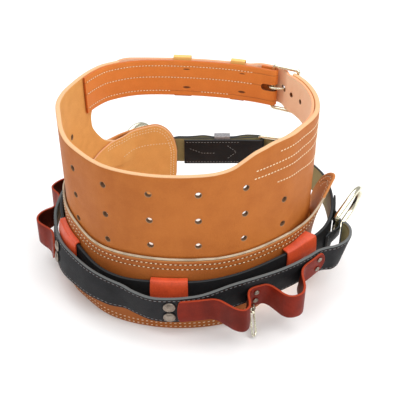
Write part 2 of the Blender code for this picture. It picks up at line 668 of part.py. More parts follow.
# Red keepers, each a bridge over the load strap whose legs end on the cushion
KEEPER_WIDE = 47.0
RED_THICK = 2.4
RED_BULGE = 1.4
RED_KEEPERS = (-205.0, -40.0, 144.0, -391.0)
for number, mid in enumerate(RED_KEEPERS, 1):
    stations = []
    for k in range(5):
        s = mid + KEEPER_WIDE * (k / 4 - 0.5)
        stations.append((s, at_ring(s)))
    points = []
    for s, place in stations:
        high = float(np.interp(s, LOAD_FINE[:, 0], LOAD_FINE[:, 2])) + 2.0
        low = high - BLACK_STRAP - 4.0
        seat_high = cushion_out(s, high) + 0.8
        seat_low = cushion_out(s, low) + 0.8
        face_high = load_face(s, high) + 1.0
        face_low = load_face(s, low) + 1.0
        t = RED_THICK
        section = [(seat_high, high + t), (face_high + t - 3, high + t), (face_high + t, high + t - 4),
                   (0.5 * (face_high + face_low) + t + RED_BULGE, 0.5 * (high + low)),
                   (face_low + t, low - t + 4), (face_low + t - 3, low - t), (seat_low, low - t),
                   (seat_low, low), (face_low - 1, low), (face_low, low + 1), (face_high, high - 1),
                   (face_high - 1, high), (seat_high, high)]
        points.append([place(out, z) for out, z in section])
    count = len(points[0])
    flat_points = [p for row in points for p in row]
    faces = [tuple(range(count))[::-1], tuple((len(points) - 1) * count + k for k in range(count))]
    for i in range(len(points) - 1):
        for k in range(count):
            a, b = i * count + k, i * count + (k + 1) % count
            faces.append((a, b, b + count, a + count))
    finish("cushion_keeper_%d" % number, flat_points, faces, "red_leather")

# Tool strap
tool_rows = ring_rows([
    # s, out, top, lean
    (-429.5, 29.9, 98, 0), (-433, 35.5, 98, 0), (-435, 44.5, 98, 0), (-433, 53.5, 98, 0),
    (-425, 60.0, 98, 0), (-414, 62.0, 98, 0), (-403, 58.0, 98, 0), (-392, 50.0, 98, 0), (-379, 41.0, 98, 3),
    (-364, 34.0, 97, 6), (-344, 27.0, 96, 9), (-320, 22.0, 94, 10),
    (-295, 20.8, 92, 9), (-270, 21.2, 90.5, 7), (-247, 21.6, 89.5, 6), (-227, 21.8, 89, 6),
    (-213, 22.2, 88.5, 7), (-200, 23.0, 88, 9), (-185, 24.0, 88, 10), (-161, 25.0, 87.5, 8),
    (-144, 25.5, 87, 7), (-127, 26.0, 86, 4), (-111, 26.6, 84, 1), (-96, 27.0, 81, -6), (-81, 32.0, 79, -8),
    (-58, 38.0, 78, -7), (-34, 37.0, 78, -5), (-11, 35.0, 79, -5), (2, 34.0, 81, -5), (32, 30.5, 87, -5),
    (62, 31.5, 90, -8), (98, 35.0, 91, -8), (127, 36.5, 91, -8), (137, 39.0, 91.5, -8),
    (150, 43.0, 92, -8), (160, 48.5, 93, -8), (168, 57.0, 94, -6), (175, 62.5, 94.5, -8),
    (182, 66.5, 95, -12), (190, 67.5, 95, -14), (200, 64.0, 95, -10), (207, 58.0, 95, -5),
    (210, 53.0, 95, 0), (208.5, 48.2, 95, 0),
])
tool = Strap(tool_rows)
tool_outline = strap_outline(tool.length, BLACK_STRAP)
cut_leather("tool_strap", tool, tool_outline, BLACK_THICK, "black_leather", step=10)


def along_tool(s, out):
    return tool.nearest(*off_ring(s, out))


TOOL_AT = [(row, along_tool(row, out)) for row, out in
           [(-400, 56.5), (-375, 38.5), (-348, 28), (-320, 21.5), (-295, 19.5), (-270, 20), (-247, 21.5),
            (-227, 21.5), (-195, 23.4), (-161, 25), (-111, 26.5), (-58, 38), (-34, 37), (-11, 35), (2, 34),
            (32, 30.5), (62, 31.5), (98, 35), (127, 35.5), (150, 42), (160, 48.5)]]


def strip_rows(table):
    return [(column(TOOL_AT, s, 1), off, top) for s, off, top in table]


SEAT = STRIP_THICK + 1.15
right_loops = Looped(tool, strip_rows([
    # s, off the tool strap, top
    (-29, SEAT, 76), (-12, SEAT, 76), (2, SEAT + 0.4, 76), (10, 6, 76), (16, 11, 76), (21, 20, 76),
    (26, 29, 76), (32, 35.5, 76), (39, 37, 76), (45.5, 32, 76), (49, 23, 76), (51.5, 13, 76), (55, 6, 76),
    (60, SEAT, 77), (68, SEAT, 77), (75, 4.8, 77), (79.5, 10, 77), (82.5, 19, 77), (85.5, 29, 77),
    (90, 36, 77), (97, 39, 77), (104, 38, 77), (110, 32, 78), (116, 22, 78), (121, 12.5, 79),
    (127, 6, 81), (134, SEAT, 84), (144, SEAT + 0.4, 88), (158, SEAT + 0.8, 93),
]))
left_loops = Looped(tool, strip_rows([
    (-402, SEAT, 84), (-386, SEAT, 84), (-371, 4.6, 83), (-361, 9, 82), (-353, 18, 82), (-345, 25, 81),
    (-335, 26.5, 81), (-327, 20, 80), (-320, 10.5, 80), (-313, 5, 80), (-305, SEAT, 80), (-298, SEAT, 80),
    (-291, 7, 80), (-286, 15, 80), (-280, 22.5, 80), (-272, 27, 80), (-263, 25.5, 80), (-255, 18, 79),
    (-248, 10, 78), (-241, 5, 77), (-233, SEAT, 76), (-223, SEAT, 76),
]))


def along_loops(home, s):
    return float(np.interp(column(TOOL_AT, s, 1), home.path[:, 0], home.at))


EYE_S, EYE_DROP = 61.5, 34.5
EYE_U = along_loops(right_loops, EYE_S)
for name, home, eyes in (("right", right_loops, [circle(EYE_U, EYE_DROP, 2.2)]), ("left", left_loops, [])):
    cut_leather("tool_loops_" + name, home, strap_outline(home.length, STRIP_WIDTH, start=5, nose=12),
                STRIP_THICK, "latigo_leather", eyes, step=6)

# Rivets: domed ones on the tool strap, ring rivets where the loops are fastened
DOME = [(-0.2, 0), (-0.2, 8.0), (0.9, 8.2), (1.8, 7.6), (1.8, 6.2), (3.0, 4.2), (3.4, 2.2), (3.5, 0)]
RING_HEAD = [(0, 0), (0, 3.6), (0.8, 3.8), (1.5, 3.2), (1.5, 2.0), (0.7, 1.4), (0.7, 0)]


def rivet(name, home, u, drop, profile, slot_name, stand=0.6):
    """A head on the face of a strap at a distance along it and down it."""
    a = np.array(home.place(u, drop, 0.0))
    b = np.array(home.place(u, drop, 2.0))
    along = np.array(home.place(u + 3, drop, 0.0)) - np.array(home.place(u - 3, drop, 0.0))
    down = np.array(home.place(u, drop + 3, 0.0)) - np.array(home.place(u, drop - 3, 0.0))
    axis = np.cross(along, down)
    axis *= np.sign(axis.dot(a - b)) / np.linalg.norm(axis)
    turned(name, a + axis * stand, axis, profile, slot_name)


DOME_AT = [(-38, 37, 13.5), (-38, 37, 32.5), (-213, 21.5, 13.5), (-213, 21.5, 32.5)]
for number, (s, out, drop) in enumerate(DOME_AT, 1):
    rivet("dome_rivet_%d" % number, tool, along_tool(s, out), drop, DOME, "antique_metal", stand=0.9)


for number, (home, s, drop) in enumerate([(right_loops, 64, 10), (right_loops, 64, 26), (right_loops, 148, 9),
                                          (right_loops, 148, 27), (left_loops, -300, 10),
                                          (left_loops, -300, 27), (left_loops, -394, 10),
                                          (left_loops, -394, 27)], 1):
    rivet("ring_rivet_%d" % number, home, along_loops(home, s), drop, RING_HEAD, "antique_metal")

# Snap that hangs on a ring through the strip, below the first fastening
RING_RADIUS = 5.0
RING_WIRE = 1.1
HOOK_WIRE = 1.5
HOOK_HALF = 3.6
SWIVEL_DROP = 5.5
HOOK_LEAN = 0.84
HOOK_SWING = 0.19
RING_TURN = math.radians(25)
eye = np.array(right_loops.place(EYE_U, EYE_DROP, STRIP_THICK / 2))
hang_n = tool.face_normal(column(TOOL_AT, EYE_S, 1))
hang_t = np.array([-hang_n[1], hang_n[0]])
ring_z = eye[2] - RING_RADIUS


def hung(along, out, z):
    """A point near the snap's ring: along the strip, out from it, and its height."""
    return (eye[0] + hang_t[0] * along + hang_n[0] * out, eye[1] + hang_t[1] * along + hang_n[1] * out, z)


ring_path = []
for a in np.radians(range(0, 360, 30)):
    reach = RING_RADIUS * math.cos(a)
    z = ring_z + RING_RADIUS * math.sin(a)
    ring_path.append(hung(reach * math.sin(RING_TURN), reach * math.cos(RING_TURN), z))
tube("snap_ring", ring_path, RING_WIRE, "antique_metal", sides=6, closed=True)
hook_top = ring_z - RING_RADIUS + RING_WIRE + GAP + HOOK_WIRE
hook_low = 3.0 + HOOK_WIRE
arc_top, arc_low = hook_top - HOOK_HALF, hook_low + HOOK_HALF
hook = [(HOOK_HALF * math.cos(a), arc_top + HOOK_HALF * math.sin(a)) for a in np.radians(range(0, 181, 30))]
hook += [(HOOK_HALF * math.cos(a), arc_low + HOOK_HALF * math.sin(a))
         for a in np.radians(range(180, 361, 30))]
hook_path = []
for a, z in hook:
    fall = max(0.0, hook_top - z - SWIVEL_DROP)
    along, out = a * math.cos(RING_TURN) - HOOK_SWING * fall, -a * math.sin(RING_TURN) + HOOK_LEAN * fall
    hook_path.append(hung(along, out, z))
tube("snap_hook", hook_path, HOOK_WIRE, "nickel", sides=6, closed=True)

# The origin is below the middle of everything, on the floor
made = list(bpy.context.collection.objects)
corners = np.array([v.co for o in made for v in o.data.vertices])
low, high = corners.min(axis=0), corners.max(axis=0)
for piece in made:
    for v in piece.data.vertices:
        v.co.x -= 0.5 * (low[0] + high[0])
        v.co.y -= 0.5 * (low[1] + high[1])
        v.co.z -= low[2]
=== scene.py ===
# %% [markdown]
# A lineman's body belt, dressed for a studio picture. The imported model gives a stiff, plain belt in the right
# sizes. This script keeps every place and size, and gives each piece of leather its thickness, rounded and
# burnished edges, stitches and grain, and each piece of metal its round section.

# %% Load the frame
import math

import bmesh
import bpy
import numpy as np
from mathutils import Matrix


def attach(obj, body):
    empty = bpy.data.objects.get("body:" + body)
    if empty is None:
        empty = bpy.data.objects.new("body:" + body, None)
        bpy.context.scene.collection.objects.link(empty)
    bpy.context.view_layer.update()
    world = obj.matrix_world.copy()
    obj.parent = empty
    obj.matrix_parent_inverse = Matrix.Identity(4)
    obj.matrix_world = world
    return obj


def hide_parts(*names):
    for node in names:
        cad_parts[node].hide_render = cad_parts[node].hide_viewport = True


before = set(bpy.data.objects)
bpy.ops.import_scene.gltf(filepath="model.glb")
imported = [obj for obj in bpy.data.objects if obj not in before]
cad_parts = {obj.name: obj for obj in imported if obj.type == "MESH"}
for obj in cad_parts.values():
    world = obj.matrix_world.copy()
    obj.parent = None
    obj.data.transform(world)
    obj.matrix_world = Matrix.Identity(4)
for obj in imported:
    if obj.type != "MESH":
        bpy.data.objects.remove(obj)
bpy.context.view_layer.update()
print("solids in the frame:", len(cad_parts))

# %% [markdown]
# Everything is drawn in millimetres on a plan whose origin is the middle of the waist. The frame's origin is
# below the middle of the whole belt, so ORIGIN is taken off each point when a mesh is made.

# %% Driving sizes
MM = 0.001
ORIGIN = np.array([-0.039, 48.683, 0.0])
PAD_THICK = 6.5
CUSHION_THICK = 4.0
LINING_THICK = 2.8
LAYER_GAP = 0.5
GAP = 0.3
WIDE_STRAP = 57.0
BLACK_STRAP = 44.5
BLACK_THICK = 4.2
STRIP_WIDTH = 38.0
STRIP_THICK = 3.0
BUCKLE_STRAP_THICK = 3.5
TONGUE_THICK = 3.8
WAIST_TOP = 264.5

# %% [markdown]
# A belt is a set of flat blanks bent round a waist. So each shape here is made in two steps, as in the
# workshop: the blank is cut flat, and then a home bends it. The waist itself is one closed smooth curve
# through a few plan points, and a place on it is a distance s from the middle of the back.

# %% Curves
def spline(rows, closed=False, parts=16):
    """Catmull-Rom curve: between rows b and c the point at t is half of
    2b + (c - a)t + (2a - 5b + 4c - d)t^2 + (3b - a - 3c + d)t^3."""
    rows = np.asarray(rows, float)
    count = len(rows)
    first = np.arange(count if closed else count - 1)
    near = [(first + k) % count if closed else np.clip(first + k, 0, count - 1) for k in (-1, 0, 1, 2)]
    a, b, c, d = (rows[i][:, None, :] for i in near)
    t = (np.arange(parts) / parts)[None, :, None]
    square, cube = 2 * a - 5 * b + 4 * c - d, 3 * b - a - 3 * c + d
    points = 0.5 * (2 * b + (c - a) * t + square * t ** 2 + cube * t ** 3)
    last = rows[:1] if closed else rows[-1:]
    return np.vstack([points.reshape(-1, rows.shape[1]), last])


def lengths(points):
    """Distance along a polyline in plan at each of its points."""
    return np.r_[0, np.cumsum(np.linalg.norm(np.diff(points[:, :2], axis=0), axis=1))]


def column(table, place, which):
    """One column of a table, read in straight steps at places in its first column."""
    table = np.asarray(table, float)
    return np.interp(place, table[:, 0], table[:, which])


def unit(vectors):
    return vectors / np.linalg.norm(vectors, axis=-1, keepdims=True)


WAIST = [
    # x, y
    (0, -104), (57, -88), (110, -56), (133, -30), (149, -6), (158, 20), (162, 50), (160, 80), (151, 112),
    (133, 140), (100, 160), (55, 176), (0, 187), (-62, 192), (-105, 188), (-142, 171), (-160, 152),
    (-173, 129), (-184, 102), (-192, 76), (-195, 45), (-190, 15), (-182, -12), (-165, -38), (-121, -81),
    (-63, -102),
]
RING = spline(WAIST, closed=True, parts=40)
RING_AT = lengths(RING)
ROUND = RING_AT[-1]


def ring_point(s):
    s = np.mod(s, ROUND)
    return np.stack([np.interp(s, RING_AT, RING[:, 0]), np.interp(s, RING_AT, RING[:, 1])], axis=-1)


def ring_normal(s, reach=4.0):
    """Outward direction: the chord over a few millimetres, turned a quarter to the right."""
    step = unit(ring_point(np.add(s, reach)) - ring_point(np.subtract(s, reach)))
    return np.stack([step[..., 1], -step[..., 0]], axis=-1)


def off_ring(s, out):
    return ring_point(s) + np.asarray(out)[..., None] * ring_normal(s)


def ring_rows(rows, parts=6):
    """Rows of (s, out, ...), smoothed, as rows of (x, y, ...)."""
    fine = spline(rows, parts=parts)
    return np.c_[off_ring(fine[:, 0], fine[:, 1]), fine[:, 2:]]


print("waist round: %.0f mm" % ROUND)

# %% [markdown]
# Three homes are enough. A Wall stands round the waist: pad, cushion and lining. A Strap runs along any path
# in plan and may lean. A Looped strip stands off a strap's face, which is how tool loops are made: one strip,
# riveted down between its loops.

# %% Homes for the blanks
class Wall:
    """A blank's (s, height, depth) becomes the point off the ring by out(s, height) less the depth."""

    def __init__(self, out):
        self.out = out

    def place(self, s, z, depth):
        return np.c_[off_ring(s, self.out(s, z) - depth), z]


class Strap:
    """A blank's (along, drop, depth) on a path of rows (x, y, top, lean): drop goes down the face, depth goes
    into the leather, and a lean tilts both."""

    def __init__(self, rows, side="left"):
        self.path = spline(rows, parts=6)
        self.at = lengths(self.path)
        self.length = self.at[-1]
        self.sign = 1.0 if side == "left" else -1.0

    def read(self, u):
        return [np.interp(u, self.at, self.path[:, k]) for k in range(4)]

    def face_normal(self, u, reach=0.9):
        ahead, behind = self.read(np.add(u, reach)), self.read(np.subtract(u, reach))
        t = unit(np.stack([ahead[0] - behind[0], ahead[1] - behind[1]], axis=-1))
        return self.sign * np.stack([t[..., 1], -t[..., 0]], axis=-1)

    def place(self, u, drop, depth):
        x, y, top, lean = self.read(u)
        n = self.face_normal(u)
        lean = np.radians(lean)
        shift = drop * np.sin(lean) - depth * np.cos(lean)
        return np.stack([x + n[..., 0] * shift, y + n[..., 1] * shift,
                         top - drop * np.cos(lean) - depth * np.sin(lean)], axis=-1)

    def nearest(self, point):
        return self.at[np.hypot(self.path[:, 0] - point[0], self.path[:, 1] - point[1]).argmin()]


class Looped:
    """A strip off a strap's face, by rows (place along the strap, off, top). Near the strap it takes the
    strap's lean, and farther off it hangs straight."""

    held_to = STRIP_THICK + 2.0
    fade = 24.0

    def __init__(self, host, rows):
        self.host = host
        self.path = spline(rows, parts=10)
        self.at = lengths(self.path)
        self.length = self.at[-1]

    def place(self, a, drop, depth, reach=0.7):
        p = [np.interp(a, self.at, self.path[:, k]) for k in range(3)]
        q = [[np.interp(a + d, self.at, self.path[:, k]) for k in range(2)] for d in (-reach, reach)]
        t = unit(np.stack([q[1][0] - q[0][0], q[1][1] - q[0][1]], axis=-1))
        u = p[0] + t[..., 1] * depth
        off = p[1] - t[..., 0] * depth
        z = p[2] - drop
        x, y, top, lean = self.host.read(u)
        n = self.host.face_normal(u)
        held = np.clip(1 - (off - self.held_to) / self.fade, 0, 1)
        out = off + held * (top - z) * np.tan(np.radians(lean))
        return np.stack([x + n[..., 0] * out, y + n[..., 1] * out, z], axis=-1)


# %% [markdown]
# Materials come before the pieces, so that each piece is finished as it is made. A wire stands for one output
# of a node, and sums and products of wires add the maths nodes, so a pattern reads as its formula.

# %% Shader maths
def srgb(red, green, blue):
    """A colour as seen on a screen, 0 to 255, as the linear colour that a shader wants."""
    c = np.array([red, green, blue]) / 255
    return (*np.where(c <= 0.04045, c / 12.92, ((c + 0.055) / 1.055) ** 2.4), 1.0)


class Wire:
    """One output socket of a node, with the sums and products that these materials use."""

    def __init__(self, paint, socket):
        self.paint = paint
        self.socket = socket

    def maths(self, how, first, second):
        return self.paint.node("ShaderNodeMath", {"operation": how}, {0: first, 1: second})

    def __add__(self, other):
        return self.maths("ADD", self, other)

    def __sub__(self, other):
        return self.maths("SUBTRACT", self, other)

    def __rsub__(self, other):
        return self.maths("SUBTRACT", other, self)

    def __mul__(self, other):
        return self.maths("MULTIPLY", self, other)

    __radd__ = __add__
    __rmul__ = __mul__

    def step(self, low, high):
        """0 below low, 1 above high, and a smooth rise between them."""
        return self.paint.node("ShaderNodeMapRange", {"interpolation_type": "SMOOTHSTEP"},
                               {"Value": self, "From Min": low, "From Max": high})


class Paint:
    """One material and the calls that add nodes to it."""

    def __init__(self, name):
        self.material = bpy.data.materials.new(name)
        self.material.use_nodes = True
        self.tree = self.material.node_tree
        self.shader = self.tree.nodes["Principled BSDF"]
        self.place = self.node("ShaderNodeTexCoord", out="Object")

    def node(self, kind, settings=None, sockets=None, out=0):
        made = self.tree.nodes.new(kind)
        for key, value in (settings or {}).items():
            setattr(made, key, value)
        for key, value in (sockets or {}).items():
            self.feed(made.inputs[key], value)
        return Wire(self, made.outputs[out])

    def feed(self, socket, value):
        if isinstance(value, Wire):
            self.tree.links.new(value.socket, socket)
        else:
            socket.default_value = value

    def set(self, **sockets):
        for key, value in sockets.items():
            self.feed(self.shader.inputs[key.replace("_", " ").title()], value)

    def noise(self, size, detail):
        """Cloudy noise whose blotches are about that many metres across."""
        return self.node("ShaderNodeTexNoise", None,
                         {"Vector": self.place, "Scale": 1 / size, "Detail": detail})

    def cells(self, size):
        """Distance to the nearest of scattered points about that many metres apart, 0 to about 1."""
        return self.node("ShaderNodeTexVoronoi", None, {"Vector": self.place, "Scale": 1 / size}, "Distance")

    def mix(self, share, first, second):
        """From the first colour to the second by a share."""
        mixer = self.tree.nodes.new("ShaderNodeMix")
        mixer.data_type = "RGBA"
        for index, value in ((0, share), (6, first), (7, second)):
            self.feed(mixer.inputs[index], value)
        return Wire(self, mixer.outputs[2])

    def mark(self, name):
        """A value that the mesh carries at its points."""
        return self.node("ShaderNodeAttribute", {"attribute_name": name}, out="Fac")

    def flat(self):
        """Where on the flat blank a point is: along and across, in metres."""
        uv = self.node("ShaderNodeUVMap", {"uv_map": "blank"})
        split = self.tree.nodes.new("ShaderNodeSeparateXYZ")
        self.feed(split.inputs[0], uv)
        return Wire(self, split.outputs[0]), Wire(self, split.outputs[1])

    def bump(self, height, depth):
        self.set(normal=self.node("ShaderNodeBump", None,
                                  {"Strength": 1.0, "Distance": depth, "Height": height}))


# %% [markdown]
# Leather is one recipe with different dyes. Broad clouds and fine specks vary the dye, the cut edge and the
# flesh side have colours of their own, the walls of punched holes are darkened with painted shade, and the
# grain is a bump of small cells. Where a row of stitches is pulled down, a faint groove runs, worked out from
# the blank's own distance across, and is darkened with painted shade; a few dented spots on the buckle strap
# get painted shade too.

# %% Leather
BROAD_CLOUD = 0.075
SMALL_CLOUD = 0.016
SPECK = 0.0022
GRAIN_CELL = 0.0016
FIBRE = 0.0012
GRAIN_DEPTH = 0.0005
GROOVE_SIDES = (0.0003, 0.0013)
# Dark brown for painted shade: in the walls of punched holes, in stitch grooves and in dented spots.
RECESS_SHADE_BROWN = srgb(58, 28, 12)


def leather_paint(name, face, dark, inner, edge, rough, grain=0.5, clouds=0.35, wear=0.0, coat=0.0,
                  shine=0.3, grooves=(), groove_dark=0.6, spots=()):
    """Dye that goes from face to dark by clouds, to inner on the flesh side and to edge on cut edges, with
    painted shade in holes, stitch grooves and dented spots.
    """
    face, dark, inner, edge = (tone and srgb(*tone) for tone in (face, dark, inner, edge))
    paint = Paint(name + "_leather")
    broad, middle, fine = paint.noise(BROAD_CLOUD, 2), paint.noise(SMALL_CLOUD, 4), paint.noise(SPECK, 3)
    mottled = (broad * 0.5 + middle * 0.35 + fine * 0.25).step(0.36, 0.78)
    colour = paint.mix(mottled * clouds, face, dark)
    flesh = paint.mark("inner").step(0.55, 0.7)
    fibre = paint.noise(FIBRE, 4)
    if inner is not None:
        colour = paint.mix(flesh, colour, paint.mix(fibre * 0.3 + middle * 0.25, inner, dark))
    rim = paint.mark("edge")
    colour = paint.mix(rim.step(0.25, 0.6), colour, paint.mix(fibre * 0.4, edge, dark))
    # Painted shade: the walls of punched holes are darkened towards the shade brown.
    colour = paint.mix(paint.mark("hole").step(0.3, 0.7) * 0.8, colour, RECESS_SHADE_BROWN)
    if wear:
        rubbed = rim.step(0.02, 0.3) * (1 - rim.step(0.5, 0.9)) * middle.step(0.3, 0.6)
        colour = paint.mix(rubbed * wear, colour, edge)
    height = (1 - paint.cells(GRAIN_CELL)) * 0.4 + fine * 0.5 + middle * 0.35
    along, across = paint.flat()
    for place in grooves:
        away = paint.node("ShaderNodeMath", {"operation": "ABSOLUTE"}, {0: across - place * MM})
        groove = 1 - away.step(*GROOVE_SIDES)
        # Painted shade: the stitch groove is darkened towards the shade brown, as shade in a crease.
        colour = paint.mix(groove * groove_dark, colour, RECESS_SHADE_BROWN)
        height = height - groove * 0.9
    for u, v, wide, high in spots:
        x, y = (along - u * MM) * (1 / (wide * MM)), (across - v * MM) * (1 / (high * MM))
        spot = 1 - (x * x + y * y).step(0.3, 1.1)
        # Painted shade: each dented spot is darkened towards the shade brown.
        colour = paint.mix(spot * 0.85, colour, RECESS_SHADE_BROWN)
        height = height - spot * 1.5
    paint.set(base_color=colour, roughness=rough + (middle - 0.5) * 0.16 + flesh * 0.12)
    paint.shader.inputs["Specular IOR Level"].default_value = shine
    paint.shader.inputs["Coat Weight"].default_value = coat
    paint.shader.inputs["Coat Roughness"].default_value = 0.3
    paint.bump(height, GRAIN_DEPTH * grain)
    return paint.material


# Dented spots on the buckle strap, darkened with painted shade.
DENT_SHADE_SPOTS = [
    # along, across, half as wide, half as high
    (176, 43, 6.5, 2.2), (262, 43, 6.5, 2.2), (176, 13, 6, 1.2), (262, 13, 5, 1.0),
]
TAN = {"clouds": 0.5, "wear": 0.3, "shine": 0.2}
BLACK = {"grain": 0.7, "clouds": 0.7, "shine": 0.12}
BLACK_ROWS = (3.6, 40.9)
CUSHION_ROWS = (5.4, 13.2)
BUCKLE_ROWS = (8.6, 27.0, 49.5)
DYES = [
    # name, slot, face, dark, flesh side, cut edge, roughness, and what else it has
    ("pad", "tan_leather", (187, 109, 44), (154, 80, 28), (242, 182, 104), (226, 184, 140), 0.54, TAN),
    ("cushion", "tan_leather", (172, 97, 42), (138, 70, 26), (214, 146, 84), (206, 138, 78), 0.5,
     TAN | {"grooves": CUSHION_ROWS}),
    ("lining", "tan_leather", (200, 124, 56), (164, 90, 36), (242, 188, 112), (232, 184, 146), 0.58,
     TAN | {"clouds": 0.6}),
    ("tongue", "pink_leather", (205, 128, 66), (214, 140, 96), (255, 222, 190), (232, 164, 124), 0.5,
     {"shine": 0.2}),
    ("black", "black_leather", (40, 40, 42), (20, 20, 22), (176, 168, 122), (112, 116, 116), 0.55,
     BLACK | {"grooves": BLACK_ROWS}),
    ("plain_black", "black_leather", (36, 36, 38), (16, 16, 18), (170, 162, 116), (58, 60, 62), 0.5, BLACK),
    # The buckle strap's stitch grooves and dented spots are darkened with painted shade.
    ("buckle_strap", "orange_leather", (214, 122, 50), (176, 84, 30), (234, 144, 66), (196, 104, 44), 0.48,
     {"clouds": 0.6, "grooves": BUCKLE_ROWS, "groove_dark": 0.25, "spots": DENT_SHADE_SPOTS}),
    ("red", "red_leather", (228, 90, 50), (160, 48, 26), None, (120, 36, 22), 0.4,
     {"grain": 0.35, "clouds": 0.7, "coat": 0.1}),
    ("latigo", "latigo_leather", (132, 34, 14), (78, 18, 8), (98, 36, 20), (176, 66, 38), 0.42,
     {"grain": 0.35, "clouds": 0.8, "wear": 0.6, "shine": 0.12}),
]
LEATHER = {name: (slot, leather_paint(name, *tones, **more)) for name, slot, *tones, more in DYES}
print("leathers:", len(LEATHER))

# %% [markdown]
# Metal is simpler: nickel plate that is a little cloudy, and dark old brass for rivets. Thread is
# matt and nearly white, or grey on the black straps. The welt is a pale cord covered with thin leather.

# %% Metal, thread and welt
def metal_paint(name, colour, tarnish, rough, share=0.5):
    """Bare metal whose clouds go towards a tarnish and make it rougher."""
    paint = Paint(name)
    clouds = (paint.noise(0.012, 4) * 0.7 + paint.noise(0.0016, 3) * 0.4).step(0.45, 0.85)
    paint.set(base_color=paint.mix(clouds * share, colour, tarnish), roughness=rough + clouds * 0.15)
    paint.shader.inputs["Metallic"].default_value = 1.0
    paint.bump(paint.noise(0.0012, 3), 0.00008)
    return paint.material


def soft_paint(name, colour, dark, rough, size):
    """A matt piece with a fine twist of light and dark."""
    paint = Paint(name)
    twist = paint.noise(size, 3)
    paint.set(base_color=paint.mix(twist.step(0.35, 0.75), colour, dark), roughness=rough + twist * 0.1)
    paint.bump(twist, 0.0002)
    return paint.material


NICKEL = ("nickel", metal_paint("nickel", srgb(232, 228, 205), srgb(170, 166, 140), 0.2))
ANTIQUE = ("antique_metal",
           metal_paint("antique_metal", srgb(150, 138, 126), srgb(62, 50, 44), 0.34, share=0.8))
THREAD_PAINT = soft_paint("cream_thread", srgb(246, 232, 200), srgb(214, 188, 142), 0.7, 0.0008)
GREY_THREAD = soft_paint("grey_thread", srgb(150, 152, 154), srgb(96, 98, 100), 0.7, 0.0008)
WELT = ("grey_welt", soft_paint("welt_leather", srgb(196, 178, 152), srgb(160, 142, 118), 0.6, 0.02))
GREY = ("grey_welt", soft_paint("grey_keeper_leather", srgb(150, 150, 154), srgb(116, 116, 120), 0.5, 0.003))


def keeper_lit_top_paint():
    """The waist strap's keepers: painted light, pale on the top above a set height, and painted shade, darker,
    below.
    """
    paint = Paint("keeper_leather")
    split = paint.tree.nodes.new("ShaderNodeSeparateXYZ")
    paint.feed(split.inputs[0], paint.place)
    # Painted light: pale above this height, and painted shade below it.
    high = Wire(paint, split.outputs[2]).step(0.255, 0.2665)
    clouds = paint.noise(0.006, 3)
    colour = paint.mix(high, srgb(176, 84, 38), srgb(238, 192, 108))
    paint.set(base_color=paint.mix(clouds * 0.25, colour, srgb(120, 60, 30)), roughness=0.5 + clouds * 0.1)
    paint.bump(paint.noise(0.0015, 3), 0.0002)
    return paint.material


KEEPER_LIT_TOP = ("tan_leather", keeper_lit_top_paint())

# %% [markdown]
# One function puts a finished mesh in the scene: origin at the frame's own, outward faces, the blank's
# own UV map, the marks that the leather reads, and the word on which solids it stands for.

# %% Put a mesh in the scene
PIECES = []


def piece(name, points, faces, look, blank=None, marks=None, bevel=0.0):
    """A look is a slot, which is not used, and a material. A piece named as a solid of the frame stands for
    that solid.
    """
    mesh = bpy.data.meshes.new(name)
    mesh.from_pydata(((np.asarray(points) - ORIGIN) * MM).tolist(), [], [list(map(int, f)) for f in faces])
    shape = bmesh.new()
    shape.from_mesh(mesh)
    bmesh.ops.recalc_face_normals(shape, faces=shape.faces[:])
    shape.to_mesh(mesh)
    shape.free()
    mesh.shade_smooth()
    mesh.set_sharp_from_angle(angle=math.radians(48))
    if blank is not None:
        corner = np.zeros(len(mesh.loops), np.int32)
        mesh.loops.foreach_get("vertex_index", corner)
        layer = mesh.uv_layers.new(name="blank")
        layer.data.foreach_set("uv", (np.asarray(blank) * MM)[corner].astype(np.float32).ravel())
    for key, values in (marks or {}).items():
        mark = mesh.attributes.new(key, "FLOAT", "POINT")
        mark.data.foreach_set("value", np.asarray(values, np.float32))
    made = bpy.data.objects.new(name, mesh)
    bpy.context.scene.collection.objects.link(made)
    slot, paint = look
    made.data.materials.append(paint)
    if bevel:
        soften = made.modifiers.new("worn edges", "BEVEL")
        soften.width = bevel * MM
        soften.segments = 3
        soften.limit_method = "ANGLE"
        soften.angle_limit = math.radians(35)
    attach(made, "root")
    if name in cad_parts:
        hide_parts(name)
    PIECES.append(made)
    return made


def grid_faces(rows, columns, closed_rows=False, closed_columns=False):
    """Quads of a grid whose points are numbered row by row."""
    i, k = np.meshgrid(np.arange(rows if closed_rows else rows - 1),
                       np.arange(columns if closed_columns else columns - 1), indexing="ij")
    j, m = (i + 1) % rows, (k + 1) % columns
    corners = [i * columns + k, i * columns + m, j * columns + m, j * columns + k]
    return np.stack(corners, -1).reshape(-1, 4)


# %% [markdown]
# A blank is a polygon with holes. It is filled flat, cut into strips so that it can bend, and its rim gets
# a quarter-round profile on both sides, worked out as whole rows: at each angle the row lies a sine outwards
# and a cosine down. So a cut edge catches the light as burnished leather does.

# %% Cut a blank of leather
RIM_ANGLES = np.radians([30, 60, 90])


def split_edges(loop, longest=5.0):
    """The loop with every edge cut into pieces no longer than that."""
    loop = np.asarray(loop, float)
    ahead = np.roll(loop, -1, axis=0)
    cuts = np.maximum(1, np.ceil(np.linalg.norm(ahead - loop, axis=1) / longest)).astype(int)
    return np.vstack([a + (b - a) * (np.arange(n) / n)[:, None] for a, b, n in zip(loop, ahead, cuts)])


def turned_way(loop, left=True):
    """The loop run anticlockwise, or clockwise."""
    ahead = np.roll(loop, -1, axis=0)
    area = np.sum(loop[:, 0] * ahead[:, 1] - ahead[:, 0] * loop[:, 1])
    return loop if (area > 0) == left else loop[::-1]


def outward(loop):
    """At each point, the direction away from the leather, long enough for a mitred corner."""
    edge = unit(np.roll(loop, -1, axis=0) - loop)
    after = np.stack([edge[:, 1], -edge[:, 0]], axis=-1)
    before = np.roll(after, 1, axis=0)
    return (after + before) / np.maximum(0.45, 1 + np.sum(after * before, axis=1))[:, None]


